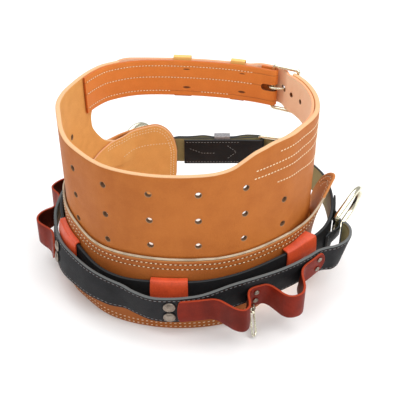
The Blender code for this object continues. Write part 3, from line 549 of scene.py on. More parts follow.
def fill(loops, stations, levels):
    """Flat triangles inside the first loop and outside the others, cut along the stations and levels."""
    flat = bmesh.new()
    edges = []
    for loop in loops:
        verts = [flat.verts.new((x, y, 0)) for x, y in loop]
        edges += [flat.edges.new((a, b)) for a, b in zip(verts, verts[1:] + verts[:1])]
    bmesh.ops.triangle_fill(flat, use_beauty=True, use_dissolve=False, edges=edges)
    cuts = [((u, 0, 0), (1, 0, 0)) for u in stations] + [((0, v, 0), (0, 1, 0)) for v in levels]
    for where, way in cuts:
        cut = bmesh.ops.bisect_plane(flat, geom=flat.verts[:] + flat.edges[:] + flat.faces[:], dist=1e-5,
                                     plane_co=where, plane_no=way)
        for part in cut["geom_cut"]:
            if isinstance(part, bmesh.types.BMEdge):
                part.seam = True
    bmesh.ops.dissolve_limit(flat, angle_limit=0.01, use_dissolve_boundaries=False, verts=flat.verts[:],
                             edges=flat.edges[:], delimit={"SEAM"})
    bmesh.ops.triangulate(flat, faces=flat.faces[:], quad_method="BEAUTY", ngon_method="BEAUTY")
    flat.verts.index_update()
    points = np.array([v.co[:2] for v in flat.verts])
    upward = [f.verts if f.normal.z > 0 else reversed(f.verts) for f in flat.faces]
    faces = np.array([[v.index for v in verts] for verts in upward])
    flat.free()
    return points, faces


def rim_loops(faces):
    """The open edges of the filled blank, chained into loops of point numbers."""
    edges = np.vstack([faces[:, [0, 1]], faces[:, [1, 2]], faces[:, [2, 0]]])
    known = {(int(a), int(b)) for a, b in edges}
    ahead = {a: b for a, b in known if (b, a) not in known}
    loops = []
    while ahead:
        start, here = ahead.popitem()
        loop = [start]
        while here != start:
            loop.append(here)
            here = ahead.pop(here)
        loops.append(np.array(loop))
    return loops


def leather(name, home, outline, thick, look, holes=(), step=4.0, levels=(), rim=1.0, blank_of=None):
    """Cut, edge and bend one blank. The rim is the radius of its rounded edges."""
    loops = [turned_way(split_edges(outline))] + [turned_way(np.asarray(h, float), left=False) for h in holes]
    loops = [loop - rim * outward(loop) for loop in loops]
    first, last = loops[0][:, 0].min(), loops[0][:, 0].max()
    stations = np.arange(math.ceil(first / step) * step, last, step)
    stations = stations[(stations > first + 0.5) & (stations < last - 0.5)]
    points, faces = fill(loops, stations, levels)
    count = len(points)
    flat, depth, edge = [points, points], [np.zeros(count), np.full(count, thick)], [np.zeros(2 * count)]
    pierced = [np.zeros(2 * count)]
    all_faces = [faces, faces[:, ::-1] + count]
    total = 2 * count
    rim_faces = []
    for loop in rim_loops(faces):
        away = outward(points[loop])
        x, y = points[loop].T
        clockwise = float(np.sum(x * np.roll(y, -1) - y * np.roll(x, -1)) < 0)
        n = len(loop)
        rows = [loop]
        for down, angles in ((True, RIM_ANGLES), (False, RIM_ANGLES[::-1])):
            for a in angles:
                flat.append(points[loop] + rim * math.sin(a) * away)
                sunk = rim * (1 - math.cos(a))
                depth.append(np.full(n, sunk if down else thick - sunk))
                edge.append(np.full(n, 1.0 if a > 0.6 else 0.5))
                pierced.append(np.full(n, clockwise))
                rows.append(np.arange(total, total + n))
                total += n
        rows.append(loop + count)
        for a, b in zip(rows[:-1], rows[1:]):
            rim_faces.append(np.stack([a, b, np.roll(b, -1), np.roll(a, -1)], axis=-1))
    flat, depth, edge = np.vstack(flat), np.concatenate(depth), np.concatenate(edge)
    placed = home.place(flat[:, 0], flat[:, 1], depth)
    every = [list(f) for f in np.vstack(all_faces)] + [list(f) for f in np.vstack(rim_faces)]
    blank = flat if blank_of is None else blank_of(flat)
    marks = {"edge": edge, "inner": depth / thick, "hole": np.concatenate(pierced)}
    return piece(name, placed, every, look, blank, marks)


def circle(x, y, radius, sides=24):
    a = 2 * np.pi * np.arange(sides) / sides
    return np.c_[x + radius * np.cos(a), y + radius * np.sin(a)]


def slot_hole(x, y, length, width, steps=9):
    """A hole with round ends, along the blank."""
    r = width / 2
    a = np.radians(np.linspace(-90, 90, steps))
    ends = np.c_[np.cos(a), np.sin(a)] * r
    return np.vstack([ends + (x + length / 2 - r, y), -ends + (x - length / 2 + r, y)])


def strap_outline(length, width, start=0.0, nose=0.0):
    """A strap's blank with a cut nose of a given length at each end."""
    def end(cut):
        shape = [(0, 0.5), (0.03, 0.38), (0.12, 0.26), (0.26, 0.15), (0.45, 0.07), (0.7, 0.02), (1, 0)]
        return shape if cut else [(0, 0)]
    left = [(start * a, width * b) for a, b in end(start)]
    right = [(length - nose * a, width * b) for a, b in end(nose)]
    top = left + right[::-1]
    bottom = [(x, width - y) for x, y in top[::-1] if abs(y - width / 2) > 1e-6]
    return top + bottom


# %% [markdown]
# Stitches are real threads, not a picture of them. One small capsule is worked out once, and all the
# stitches of a run are placed as one array: each has its middle on the row, its length along the
# row and its height out of the leather.

# %% Stitches
CAPSULE_ALONG = np.array([-1.0, -0.72, 0.0, 0.72, 1.0])
CAPSULE_ROUND = np.array([0.35, 0.86, 1.0, 0.86, 0.35])
CAPSULE_SIDES = 6


def row_points(row, pitch):
    """Evenly spaced middles along a row of blank points, and the row's direction there."""
    row = np.asarray(row, float)
    at = lengths(row)
    where = np.arange(0.6 * pitch, at[-1] - 0.4 * pitch, pitch)
    middle = np.c_[np.interp(where, at, row[:, 0]), np.interp(where, at, row[:, 1])]
    ahead = np.c_[np.interp(where + 1, at, row[:, 0]), np.interp(where + 1, at, row[:, 1])]
    back = np.c_[np.interp(where - 1, at, row[:, 0]), np.interp(where - 1, at, row[:, 1])]
    return middle, unit(ahead - back)


def stitches(name, runs, slot, paint, share=0.66, thread=0.55, slant=0.10):
    """Runs are (home, row of blank points, depth of the face, pitch). A depth above 0 is the inner face."""
    points, faces = [], []
    total = 0
    for home, row, depth, pitch in runs:
        middle, way = row_points(row, pitch)
        half = 0.5 * share * pitch
        a = home.place(*(middle - half * way).T, np.full(len(middle), depth))
        b = home.place(*(middle + half * way).T, np.full(len(middle), depth))
        out = 1.0 if depth > 0 else -1.0
        normal = unit(home.place(*middle.T, np.full(len(middle), depth + out)) - 0.5 * (a + b))
        along = 0.5 * (b - a)
        side = unit(np.cross(normal, along))
        along = along + side * np.linalg.norm(along, axis=1)[:, None] * slant
        turn = 2 * np.pi * (np.arange(CAPSULE_SIDES) + 0.5) / CAPSULE_SIDES
        x = CAPSULE_ALONG[None, :, None, None]
        r = thread * CAPSULE_ROUND[None, :, None, None]
        wide = side[:, None, None, :] * np.cos(turn)[None, None, :, None]
        tall = normal[:, None, None, :] * np.sin(turn)[None, None, :, None] * 0.8
        body = 0.5 * (a + b)[:, None, None, :] + x * along[:, None, None, :] + r * (wide + tall)
        sunk = normal[:, None, None, :] * thread * (0.05 - 0.5 * x ** 4)
        body = body + sunk
        count = len(middle)
        size = len(CAPSULE_ALONG) * CAPSULE_SIDES
        one = grid_faces(len(CAPSULE_ALONG), CAPSULE_SIDES, closed_columns=True)
        starts = total + size * np.arange(count)
        faces += (one[None] + starts[:, None, None]).reshape(-1, 4).tolist()
        cap = np.arange(CAPSULE_SIDES)
        faces += (cap[None, ::-1] + starts[:, None]).tolist()
        faces += (cap[None] + size - CAPSULE_SIDES + starts[:, None]).tolist()
        points.append(body.reshape(-1, 3))
        total += count * size
    piece(name, np.vstack(points), faces, (slot, paint))
    print(name, "stitches:", total // size)


# %% [markdown]
# Round bars are a circle carried along a path. Every bar here lies near one plane or on a surface, so
# one known direction beside the path is enough to hold the circle without twist.

# %% Bars and turned pieces
def bar(name, path, radius, side, look, sides=16, closed=False):
    """Round bar: path point + radius (cos a times side + sin a times up), up being ahead x side."""
    path = np.asarray(path, float)
    ahead = np.roll(path, -1, axis=0) - np.roll(path, 1, axis=0)
    if not closed:
        ahead[0], ahead[-1] = path[1] - path[0], path[-1] - path[-2]
    ahead = unit(ahead)
    side = np.broadcast_to(np.asarray(side, float), path.shape)
    side = unit(side - ahead * np.sum(ahead * side, axis=1)[:, None])
    up = np.cross(ahead, side)
    a = 2 * np.pi * (np.arange(sides) + 0.5) / sides
    radius = np.broadcast_to(radius, len(path))[:, None, None]
    cos, sin = np.cos(a)[None, :, None], np.sin(a)[None, :, None]
    rings = path[:, None] + radius * (cos * side[:, None] + sin * up[:, None])
    points = rings.reshape(-1, 3)
    faces = grid_faces(len(path), sides, closed_rows=closed, closed_columns=True).tolist()
    if not closed:
        faces += [list(range(sides))[::-1], [(len(path) - 1) * sides + k for k in range(sides)]]
    return piece(name, points, faces, look)


def turned(name, centre, axis, profile, look, sides=40, ripple=None):
    """Turned about an axis: rows of (along, radius), the first and last on the axis."""
    axis = unit(np.asarray(axis, float))
    side = unit(np.cross(axis, (0.1, 0.2, 0.97)))
    up = np.cross(axis, side)
    profile = np.asarray(profile, float)
    a = 2 * np.pi * np.arange(sides) / sides
    along = np.repeat(profile[1:-1, :1], sides, axis=1)
    if ripple is not None:
        beads, low, high, tall = ripple
        band = (profile[1:-1, 1] > low) & (profile[1:-1, 1] < high)
        along = along + band[:, None] * tall * np.cos(beads * a)[None]
    radius = profile[1:-1, 1][:, None, None]
    cos, sin = np.cos(a)[None, :, None], np.sin(a)[None, :, None]
    rings = centre + along[..., None] * axis + radius * (cos * side + sin * up)
    ends = [centre + axis * profile[0, 0], centre + axis * profile[-1, 0]]
    points = np.vstack([rings.reshape(-1, 3), ends])
    rows = len(profile) - 2
    faces = grid_faces(rows, sides, closed_columns=True).tolist()
    k = np.arange(sides)
    faces += np.stack([k, (k + 1) % sides, np.full(sides, rows * sides)], -1).tolist()
    last = (rows - 1) * sides
    faces += np.stack([last + (k + 1) % sides, last + k, np.full(sides, rows * sides + 1)], -1).tolist()
    return piece(name, points, faces, look)


# %% [markdown]
# The back pad is one thick blank of harness leather with a cut-out on each side, and three rows of
# punched holes that let air through. The holes are real, so light shows through them as in the picture.

# %% Back pad
PAD_OUTLINE = [
    # s, z
    (-439, 265), (-393, 265), (-290, 265), (-255, 262), (-225, 252), (-200, 246), (-170, 243), (-100, 241.5),
    (0, 241.5), (25, 242.5), (42, 246), (54, 252), (70, 260), (86, 264), (110, 268), (185, 270), (240, 266),
    (332, 266), (332, 209), (282, 209), (270, 206), (263.5, 197), (262, 185), (263, 173), (265, 150),
    (260, 112), (240, 92), (-403, 92), (-427, 108), (-428, 128), (-404, 139), (-391, 152), (-376, 173),
    (-373, 186), (-374, 197), (-380, 206), (-393, 209), (-439, 209),
]
HOLE_PITCH = 62.0
HOLE_FIRST = -312.0
HOLE_ROWS = (214.5, 175.0, 135.5)
HOLE_RADIUS = 3.5
HOLE_SHIFTS = [
    # s, how far each row lies from its height
    (-330, 19, 17, 15), (-300, 17, 15, 13), (-260, 11, 7, 5), (-225, 2, -2, -3), (-190, -3, -5, -4),
    (-128, 0, -6, -7), (-66, 0, 0, 0), (200, 0, 0, 0),
]


def eased(rows, parts=4, square=()):
    """The outline smoothed between its rows, except along edges whose row numbers are in square."""
    rows = np.asarray(rows, float)
    fine = spline(rows, closed=True, parts=parts)[:-1].reshape(len(rows), parts, 2)
    kept = [rows[i:i + 1] if i in square else fine[i] for i in range(len(rows))]
    return np.vstack(kept)


pad_holes = []
for i in range(8):
    for row, z in enumerate(HOLE_ROWS):
        if row > 0 or i not in (0, 7):
            s = HOLE_FIRST + HOLE_PITCH * i
            pad_holes.append(circle(s, z + column(HOLE_SHIFTS, s, row + 1), HOLE_RADIUS))
PAD_SQUARE = (0, 1, 16, 17, 18, 25, 26, 27, 35, 36, 37)
pad_home = Wall(lambda s, z: np.zeros(np.shape(s)))
leather("back_pad", pad_home, eased(PAD_OUTLINE, square=PAD_SQUARE), PAD_THICK, LEATHER["pad"],
        holes=pad_holes, levels=np.arange(100, 266, 11.0), rim=1.5)
print("holes in the pad:", len(pad_holes))

# %% [markdown]
# The cushion carries the load strap. It is two layers sewn together round a filling, with a corded
# welt along the top. Its right wing flares away from the waist, so its distance out grows with s and height.

# %% Cushion and lining
FLARE = [
    # s, how far the top stands out
    (-900, 0), (130, 0), (163, 10), (190, 16), (219, 26), (236, 31), (272, 31),
]
CUSHION_TOP = [
    # s, z
    (-526, 100), (-522, 120), (-515, 134), (-505, 143.5), (-492, 148), (-475, 145), (-455, 141), (-436, 138),
    (-410, 133), (-360, 130), (-300, 130), (-230, 131), (-205, 127), (-191, 122), (-174, 116), (-152, 112.5),
    (-115, 113.5), (-60, 114.5), (0, 113.5), (25, 112), (75, 112), (117, 113.5), (161, 114), (195, 120),
    (215, 129), (229, 140), (238, 147), (248, 145), (258, 137), (266, 124), (270, 105),
]
CUSHION_BOTTOM = [
    (269, 60), (261, 25), (248, 6), (235, 0), (210, 0), (190, 6), (165, 18), (130, 24), (95, 18), (60, 7),
    (30, 0), (-270, 0), (-310, 8), (-345, 20), (-380, 25), (-420, 19), (-450, 6), (-467, 0), (-490, 0),
    (-505, 7), (-517, 27), (-524, 55),
]
LINING_TOP = CUSHION_TOP[:9] + [
    # s, z, away from the left wing
    (-370, 125), (-330, 113), (-280, 105), (180, 105), (215, 112), (240, 122), (252, 118), (258, 105),
]
LINING_SHORT = 2
LINING_BOTTOM = [(258, 40), (250, 12)] + [(s, z + LINING_SHORT) for s, z in CUSHION_BOTTOM[3:20]]
LINING_BOTTOM += [(-517, 28), (-524, 55)]
CUSHION_OFF = 4.5
FOOT_TOP = 100.0
FOOT_SPREAD = 0.055
FLARE_LOW = 60.0
FLARE_RISE = 90.0
FLARE_BEND = 1.4
POCKET_LOW = (74.0, 90.0)
LEFT_POCKET = (-457.0, -432.0)


def cushion_out(s, z):
    """Off the pad: a little more towards the bottom, and the flare towards the top of the right wing."""
    low = np.maximum(0.0, FOOT_TOP - z) * FOOT_SPREAD
    high = np.maximum(0.0, (z - FLARE_LOW) / FLARE_RISE) ** FLARE_BEND
    return CUSHION_OFF + low + column(FLARE, s, 1) * high


def lining_out(s, z):
    """Inside the pad where the pad is, else close behind the cushion's outer layer."""
    joined = cushion_out(s, z) - CUSHION_THICK - LAYER_GAP
    inside = -PAD_THICK - LAYER_GAP
    rise = np.clip((z - POCKET_LOW[0]) / (POCKET_LOW[1] - POCKET_LOW[0]), 0, 1)
    share = rise * np.clip((s - LEFT_POCKET[0]) / (LEFT_POCKET[1] - LEFT_POCKET[0]), 0, 1)
    return joined + (inside - joined) * share * share * (3 - 2 * share)


cushion_edge = spline(CUSHION_TOP, parts=6)
cushion_low = spline(CUSHION_BOTTOM, parts=4)
cushion_home = Wall(cushion_out)


def below_top(flat):
    """The cushion's blank map: along it, and how far below its top edge."""
    order = np.argsort(cushion_edge[:, 0])
    top = np.interp(flat[:, 0], cushion_edge[order, 0], cushion_edge[order, 1])
    return np.c_[flat[:, 0], top - flat[:, 1]]


cushion = leather("cushion", cushion_home, np.vstack([cushion_edge, cushion_low]), CUSHION_THICK,
                  LEATHER["cushion"], levels=np.arange(8, 146, 9.0), rim=1.3, blank_of=below_top)
lining_home = Wall(lining_out)
lining_edge = np.vstack([spline(LINING_TOP, parts=4), spline(LINING_BOTTOM, parts=4)])
leather("cushion_lining", lining_home, lining_edge, LINING_THICK, LEATHER["lining"],
        levels=np.r_[np.arange(8, 70, 9.0), np.arange(72, 92, 3.0), np.arange(100, 146, 9.0)], rim=0.9)

# %% The welt along the cushion's top
WELT_RADIUS = 1.6
WELT_RISE = 2.0
WELT_ENDS = (-410, 212)
welt_row = spline(CUSHION_TOP, parts=10)
welt_row = welt_row[(welt_row[:, 0] > WELT_ENDS[0]) & (welt_row[:, 0] < WELT_ENDS[1])]
welt_way = unit(np.gradient(welt_row, axis=0))
welt_row = welt_row + WELT_RISE * np.c_[-welt_way[:, 1], welt_way[:, 0]]
welt_out = cushion_out(*welt_row.T) - 0.5 * CUSHION_THICK + 0.3
welt_path = np.c_[off_ring(welt_row[:, 0], welt_out), welt_row[:, 1]]
welt_side = np.c_[ring_normal(welt_row[:, 0]), np.zeros(len(welt_row))]
bar("cushion_welt", welt_path, WELT_RADIUS, welt_side, WELT, sides=12)

# %% [markdown]
# The waist buckle joins the two ends at the front. The left strap is folded round the frame's far bar and
# sewn to itself, and the tongue from the right passes inside the near bar and over the prong.

# %% Waist buckle, strap and tongue
BAR_L, BAR_R = 367.0, 329.0
BAR_L_OUT, BAR_R_OUT = -3.7, 3.4
FRAME_WIRE = 2.8
FRAME_Z = (202.4, 269.6)
FOLD_ROOM = 0.6
FOLD_RADIUS = FRAME_WIRE + FOLD_ROOM
BUCKLE_STRAP_OUT = -PAD_THICK - 0.9
PRONG_WIRE = 1.8
HALF_TURN = (0, 30, 60, 90, 120, 150, 180)
back = BAR_L - ROUND
fold = [(back - FOLD_RADIUS * math.sin(a), BAR_L_OUT - FOLD_RADIUS * math.cos(a))
        for a in np.radians(HALF_TURN)]
strap_rows = [(s, BUCKLE_STRAP_OUT) for s in range(-359, -660, -25)] + [(back + 6, BUCKLE_STRAP_OUT)] + fold
strap_rows += [(back + 6, fold[-1][1]), (back + 14, fold[-1][1]), (back + 21, -0.9)]
buckle_strap_home = Strap(ring_rows([(s, out, WAIST_TOP, 0) for s, out in strap_rows]), side="right")
bar_u = buckle_strap_home.nearest(off_ring(*fold[3]))
leather("buckle_strap", buckle_strap_home, strap_outline(buckle_strap_home.length, WIDE_STRAP),
        BUCKLE_STRAP_THICK, LEATHER["buckle_strap"], holes=[slot_hole(bar_u - 3, WIDE_STRAP * 0.5, 36, 9)],
        step=2.0, rim=0.9)

tongue_rows = [
    # s, out of its outer face
    (70, -7.3), (120, -7.3), (170, -7.3), (220, -7.3), (270, -7.3), (310, -7.3), (324, -7.3), (333, -7.3),
    (340, -4.6), (348, 1.8), (354, 5.6), (360, 7.6), (367, 7.8), (380, 7.8), (391, 7.4), (398, 4.4),
    (404, 1.2), (410, 0.0), (435, -0.4), (460, -0.4), (520, -0.4), (550, -0.4), (575, 1.4), (592, 4.5),
    (612, 4.8), (626, 4.8),
]
tongue_home = Strap(ring_rows([(s, out, WAIST_TOP + 0.6, 0) for s, out in tongue_rows]))
TONGUE_HOLES = (298, 325)
TAIL_HOLE = 372
pierced = tongue_home.nearest(off_ring(347, 0.8))
tongue_holes = [circle(tongue_home.nearest(off_ring(s, -6.8)), WIDE_STRAP * 0.5, 3.0) for s in TONGUE_HOLES]
tongue_holes.append(slot_hole(pierced, WIDE_STRAP * 0.5, 15, 6.4))
tongue_holes.append(circle(tongue_home.nearest(off_ring(TAIL_HOLE, 6)), WIDE_STRAP * 0.5, 3.0))
tongue_outline = strap_outline(tongue_home.length, WIDE_STRAP, start=60, nose=30)
leather("tongue", tongue_home, tongue_outline, TONGUE_THICK, LEATHER["tongue"],
        holes=tongue_holes, step=3.0, rim=1.0)


def frame_path(left, right, heights, radius=4.0, steps=8):
    """A rectangle with quarter-round corners between two upright bars."""
    left, right = np.array(left), np.array(right)
    width = np.linalg.norm(right - left)
    low, high = heights[0] + radius, heights[1] - radius
    a = np.radians(np.linspace(0, 90, steps + 1))
    corners = [(width - radius, high), (radius, high), (radius, low), (width - radius, low)]
    quarters = [np.c_[x + radius * np.cos(a + q * np.pi / 2), z + radius * np.sin(a + q * np.pi / 2)]
                for q, (x, z) in enumerate(corners)]
    flat = np.vstack(quarters)
    return np.c_[left + flat[:, :1] / width * (right - left), flat[:, 1]]


def frame_bar(name, left, right, heights, wire):
    """A buckle's frame. The direction beside its path is square to its plane."""
    across = np.array(right) - np.array(left)
    beside = (across[1], -across[0], 0.0)
    bar(name, frame_path(left, right, heights), wire, beside, NICKEL, closed=True)


def prong(name, path, height):
    """A buckle's level prong, thinner towards its tip."""
    path = np.c_[path, np.full(len(path), height)]
    thickness = PRONG_WIRE * np.linspace(1.05, 0.85, len(path))
    bar(name, path, thickness, (0, 0, 1), NICKEL)


frame_bar("waist_buckle_frame", off_ring(BAR_L, BAR_L_OUT), off_ring(BAR_R, BAR_R_OUT), FRAME_Z, FRAME_WIRE)
WAIST_PRONG = [
    # s, out
    (369.5, 0.9), (372.0, -2.6), (371.4, -6.4), (367.5, -8.7), (361, -8.2), (355, -5.8), (349.5, -2.2),
    (344, 2.2), (338, 6.6), (333, 8.4), (328, 9.0), (322, 8.8),
]
waist_prong = spline(WAIST_PRONG, parts=8)
prong("waist_buckle_prong", off_ring(waist_prong[:, 0], waist_prong[:, 1]), WAIST_TOP - WIDE_STRAP / 2)


def hoop(name, stations, inside, thick, look, corner=1.2):
    """A keeper all the way round: the room inside is (out0, out1, z0, z1), carried past the stations."""
    out0, out1, z0, z1 = inside

    def rounded(grow):
        a, b, c, d = out0 - grow, out1 + grow, z0 - grow, z1 + grow
        r = corner + grow * 0.6
        turn = np.radians(np.linspace(0, 90, 5))
        corners = [(b - r, d - r), (a + r, d - r), (a + r, c + r), (b - r, c + r)]
        return np.vstack([np.c_[x + r * np.cos(turn + q * np.pi / 2), z + r * np.sin(turn + q * np.pi / 2)]
                          for q, (x, z) in enumerate(corners)])

    section = np.vstack([rounded(0), rounded(thick)])
    n = len(section) // 2
    points = np.vstack([place(section[:, 0], section[:, 1]) for place in stations])
    rows = len(stations)
    k = np.arange(n)
    faces = []
    for i in range(rows - 1):
        for start in (0, n):
            low, high = 2 * n * i + start, 2 * n * (i + 1) + start
            faces += np.stack([low + k, low + (k + 1) % n, high + (k + 1) % n, high + k], -1).tolist()
    for base in (0, 2 * n * (rows - 1)):
        faces += np.stack([base + k, base + (k + 1) % n, base + n + (k + 1) % n, base + n + k], -1).tolist()
    return piece(name, points, faces, look, bevel=0.35)


def at_ring(s):
    p, n = ring_point(s), ring_normal(s)
    return lambda out, z: np.c_[p[0] + n[0] * out, p[1] + n[1] * out, z]


KEEPER_THICK = 1.3
KEEPER_ROOM = (-4.9, 0.9, WAIST_TOP - WIDE_STRAP - 2.6, WAIST_TOP + 3.6)
STRAP_KEEPERS = [
    # name, s of its two sides
    ("strap_keeper_1", -524, -551), ("strap_keeper_2", -612, -634),
]
for name, first, last in STRAP_KEEPERS:
    stations = [at_ring(s) for s in np.linspace(first, last, 7)]
    hoop(name, stations, KEEPER_ROOM, KEEPER_THICK, KEEPER_LIT_TOP)

# %% [markdown]
# The load strap is what a lineman hangs from, so it goes all the way round: folded at the front buckle,
# round the back under the red keepers, and its tail back through the same buckle. The inner face shows
# its undyed olive side.

# %% Load strap and front buckle
LOAD_TABLE = [
    # s, out, top, lean
    (-500, 15.0, 117, 3), (-480, 15.0, 114, 3), (-460, 15.5, 112, 3), (-430, 14.5, 110, 3),
    (-391, 12.0, 109, 3), (-350, 11.2, 109, 3), (-300, 11.0, 108, 3), (-250, 11.0, 106, 3),
    (-215, 11.0, 102, 3), (-190, 11.0, 96, 3), (-165, 11.0, 88, 3), (-140, 11.0, 82, 3),
    (-100, 11.2, 80, 3), (-60, 11.2, 83, 3), (-16, 11.2, 84, 3), (20, 11.2, 85, 3), (54, 11.2, 87, 3),
    (92, 12.0, 90, 3), (117, 13.5, 92, 2), (141, 17, 94, 0), (168, 24.5, 97, 0), (186, 30.5, 101, 0),
    (201, 33.5, 105, 0), (214, 34.5, 108, 0), (236, 34.5, 110, 0), (255, 35, 110, 0), (285, 36, 111, 0),
    (307, 34, 112, 0), (330, 32, 114, 0),
]
FRONT_TOP = 118.0
FRONT_BAR_L = (98.0, 201.0)
FRONT_BAR_R = (134.5, 191.5)
FRONT_WIRE = 3.0
TAIL_PRONG = (119.5, 199.6)
turn_r = FRONT_WIRE + FOLD_ROOM + BLACK_THICK
LOAD_INSIDE = [
    # x, y of the folded end, inside the belt
    (-26, 194), (0, 193.9), (30, 194), (60, 194.2), (84, 193.6), (93, 193.2),
]
LOAD_OUTSIDE = [
    # x, y from the bar to where the waist's own rows begin
    (92, 208.6), (82, 207.4), (66, 205.2), (50, 204.8), (23, 204.6), (-3, 204.6), (-28, 205),
]
LOAD_TAIL = [
    # x, y of the tail, through the buckle and the keeper
    (143, 176), (131, 187.6), (121, 198), (112, 207.6), (104, 212.9), (95, 214.2), (80, 215.5), (70, 214),
    (60, 210.6), (50, 209.4), (36, 209.3), (23, 209.4), (14, 212), (4, 213.5), (-8, 211.5), (-24, 210),
    (-40, 212.5), (-54, 216),
]
load_turn = [(FRONT_BAR_L[0] + turn_r * math.sin(a), FRONT_BAR_L[1] - turn_r * math.cos(a))
             for a in np.radians(HALF_TURN)]
load_rows = [(x, y, FRONT_TOP, 0) for x, y in LOAD_INSIDE + load_turn + LOAD_OUTSIDE]
load_rows += ring_rows(LOAD_TABLE).tolist()
load_rows += [(x, y, FRONT_TOP - GAP, 0) for x, y in LOAD_TAIL]
load = Strap(load_rows)
front_u = load.nearest((FRONT_BAR_L[0] + turn_r, FRONT_BAR_L[1]))
half_way = len(load.at) // 2
to_prong = np.hypot(*(load.path[half_way:, :2] - TAIL_PRONG).T)
tail_at = float(load.at[half_way + to_prong.argmin()])
load_holes = [slot_hole(front_u, BLACK_STRAP / 2, 44, 8.5), slot_hole(tail_at, BLACK_STRAP / 2, 15, 6.4)]
load_holes += [circle(tail_at + away, BLACK_STRAP / 2, 2.6) for away in (-76, -38, 38)]
leather("load_strap", load, strap_outline(load.length, BLACK_STRAP, nose=26), BLACK_THICK,
        LEATHER["plain_black"], holes=load_holes, step=2.5, rim=1.0)
FRONT_HEIGHTS = (FRONT_TOP - BLACK_STRAP - 4.0, FRONT_TOP + 3.8)
frame_bar("roller_buckle_frame", FRONT_BAR_L, FRONT_BAR_R, FRONT_HEIGHTS, FRONT_WIRE)
bar_way = unit(np.array(FRONT_BAR_R) - np.array(FRONT_BAR_L))
bar_out = np.array([-bar_way[1], bar_way[0]])
front_mid = FRONT_TOP - BLACK_STRAP / 2
FRONT_PRONG = [
    # along the frame, out of it
    (-3.6, 3.8), (-5.2, -0.4), (-3.4, -4.2), (1.5, -5.5), (8, -4.8), (14, -3.2), (20, 0.2), (26, 4.0),
    (32, 5.8), (41, 5.9),
]
front_prong = spline(FRONT_PRONG, parts=8)
front_path = np.array(FRONT_BAR_L) + front_prong[:, :1] * bar_way + front_prong[:, 1:] * bar_out
prong("roller_buckle_prong", front_path, front_mid)
ROLLER = [
    # along the bar, radius
    (-19.5, 0), (-19.5, 3.1), (-19.0, 3.5), (19.0, 3.5), (19.5, 3.1), (19.5, 0),
]
turned("roller_sleeve", np.array([*FRONT_BAR_R, front_mid]), (0, 0, 1), ROLLER, NICKEL, sides=24)


def beside_front(x):
    return lambda out, z: np.c_[np.full(len(out), x), FRONT_BAR_L[1] + out, z]


FRONT_KEEPER = (23.5, 49.5)
FRONT_ROOM = (-1.2, 10.0, FRONT_TOP - BLACK_STRAP - 1.6, FRONT_TOP + 3.2)
hoop("front_keeper", [beside_front(x) for x in np.linspace(*FRONT_KEEPER, 6)], FRONT_ROOM, KEEPER_THICK, GREY)

# %% [markdown]
# Each D-ring's straight bar lies between the load strap and an outer ply, the chape, that is sewn down
# on both sides of it. The bow stands out and up, slanted as in the picture.

# %% D-rings and their chapes
D_RING_WIRE = 4.25
D_RING_WIDTH = 56.0
D_RING_HEIGHT = 70.0
D_SLANT = 0.51
D_BOW = (0.73, 0.42, 0.535)
D_STAND = 1.2
HUMP_HIGH = 1.35
HUMP_WIDE = 15.0
D_RINGS = [
    # name, s, height, which way it slants
    ("right", 214.0, 79.0, 1), ("left", -444.0, 77.0, -1),
]
LOAD_FINE = spline(LOAD_TABLE, parts=6)
CHAPE_THICK = 3.0
CHAPE_HALF = 27.0
CHAPE_HEIGHT = 38.0
CHAPE_SLANT = 14.0


def load_face(s, z):
    """How far out the load strap's outer face is, away from the front."""
    out, top, lean = (np.interp(s, LOAD_FINE[:, 0], LOAD_FINE[:, k]) for k in (1, 2, 3))
    return out + (top - z) * np.tan(np.radians(lean))


def d_outline(corner=4.0):
    """The D in its own plane: a straight bar with round corners, two legs and half a circle."""
    half, leg = D_RING_WIDTH / 2, D_RING_HEIGHT - D_RING_WIDTH / 2
    turn = np.radians(np.linspace(-90, 0, 8))
    right = np.c_[half - corner + corner * np.cos(turn), corner + corner * np.sin(turn)]
    bow = np.radians(np.linspace(0, 180, 40))
    top = np.c_[half * np.cos(bow), leg + half * np.sin(bow)]
    return np.vstack([right, top, (right * (-1, 1))[::-1]])


chape_edges = {}
for name, mid, level, way in D_RINGS:
    bar_out_at = load_face(mid, level) + D_STAND + D_RING_WIRE

    def chape_out(s, z, mid=mid, level=level, way=way, bar_out_at=bar_out_at):
        """On the load strap, with a smooth hump over the ring's slanted bar."""
        near = np.abs(s - mid + way * (z - level) * D_SLANT)
        lift = bar_out_at + D_RING_WIRE + GAP - load_face(s, z)
        hump = lift * np.clip(HUMP_HIGH - near / HUMP_WIDE, 0, 1)
        return load_face(s, z) + np.minimum(np.maximum(hump, LAYER_GAP), lift) + CHAPE_THICK

    low, high = level - CHAPE_HEIGHT / 2, level + CHAPE_HEIGHT / 2
    rise = way * CHAPE_HALF * D_SLANT
    outline = [(mid - CHAPE_HALF, high - rise), (mid + CHAPE_HALF, high + rise),
               (mid + CHAPE_HALF, low + rise), (mid - CHAPE_HALF, low - rise)]
    chape_home = Wall(chape_out)
    chape_edges[name] = (chape_home, np.array(outline))
    leather("d_ring_chape_" + name, chape_home, outline, CHAPE_THICK, LEATHER["plain_black"], step=2.0,
            levels=np.arange(math.ceil(low - CHAPE_SLANT), high + CHAPE_SLANT, 3.0), rim=0.8)
    normal = ring_normal(mid)
    tangent = np.array([-normal[1], normal[0]])

    def local(a, b, c, tangent=tangent, normal=normal):
        return np.array([tangent[0] * a + normal[0] * b, tangent[1] * a + normal[1] * b, c])

    bar_dir = unit(local(way * D_SLANT, 0, -1))
    bow_dir = local(way * D_BOW[0], D_BOW[1], D_BOW[2])
    bow_dir = unit(bow_dir - bar_dir * bow_dir.dot(bar_dir))
    centre = np.array([*off_ring(mid, bar_out_at), level])
    shape = d_outline()
    bar("d_ring_" + name, centre + shape[:, :1] * bar_dir + shape[:, 1:] * bow_dir, D_RING_WIRE,
        np.cross(bar_dir, bow_dir), NICKEL, closed=True)

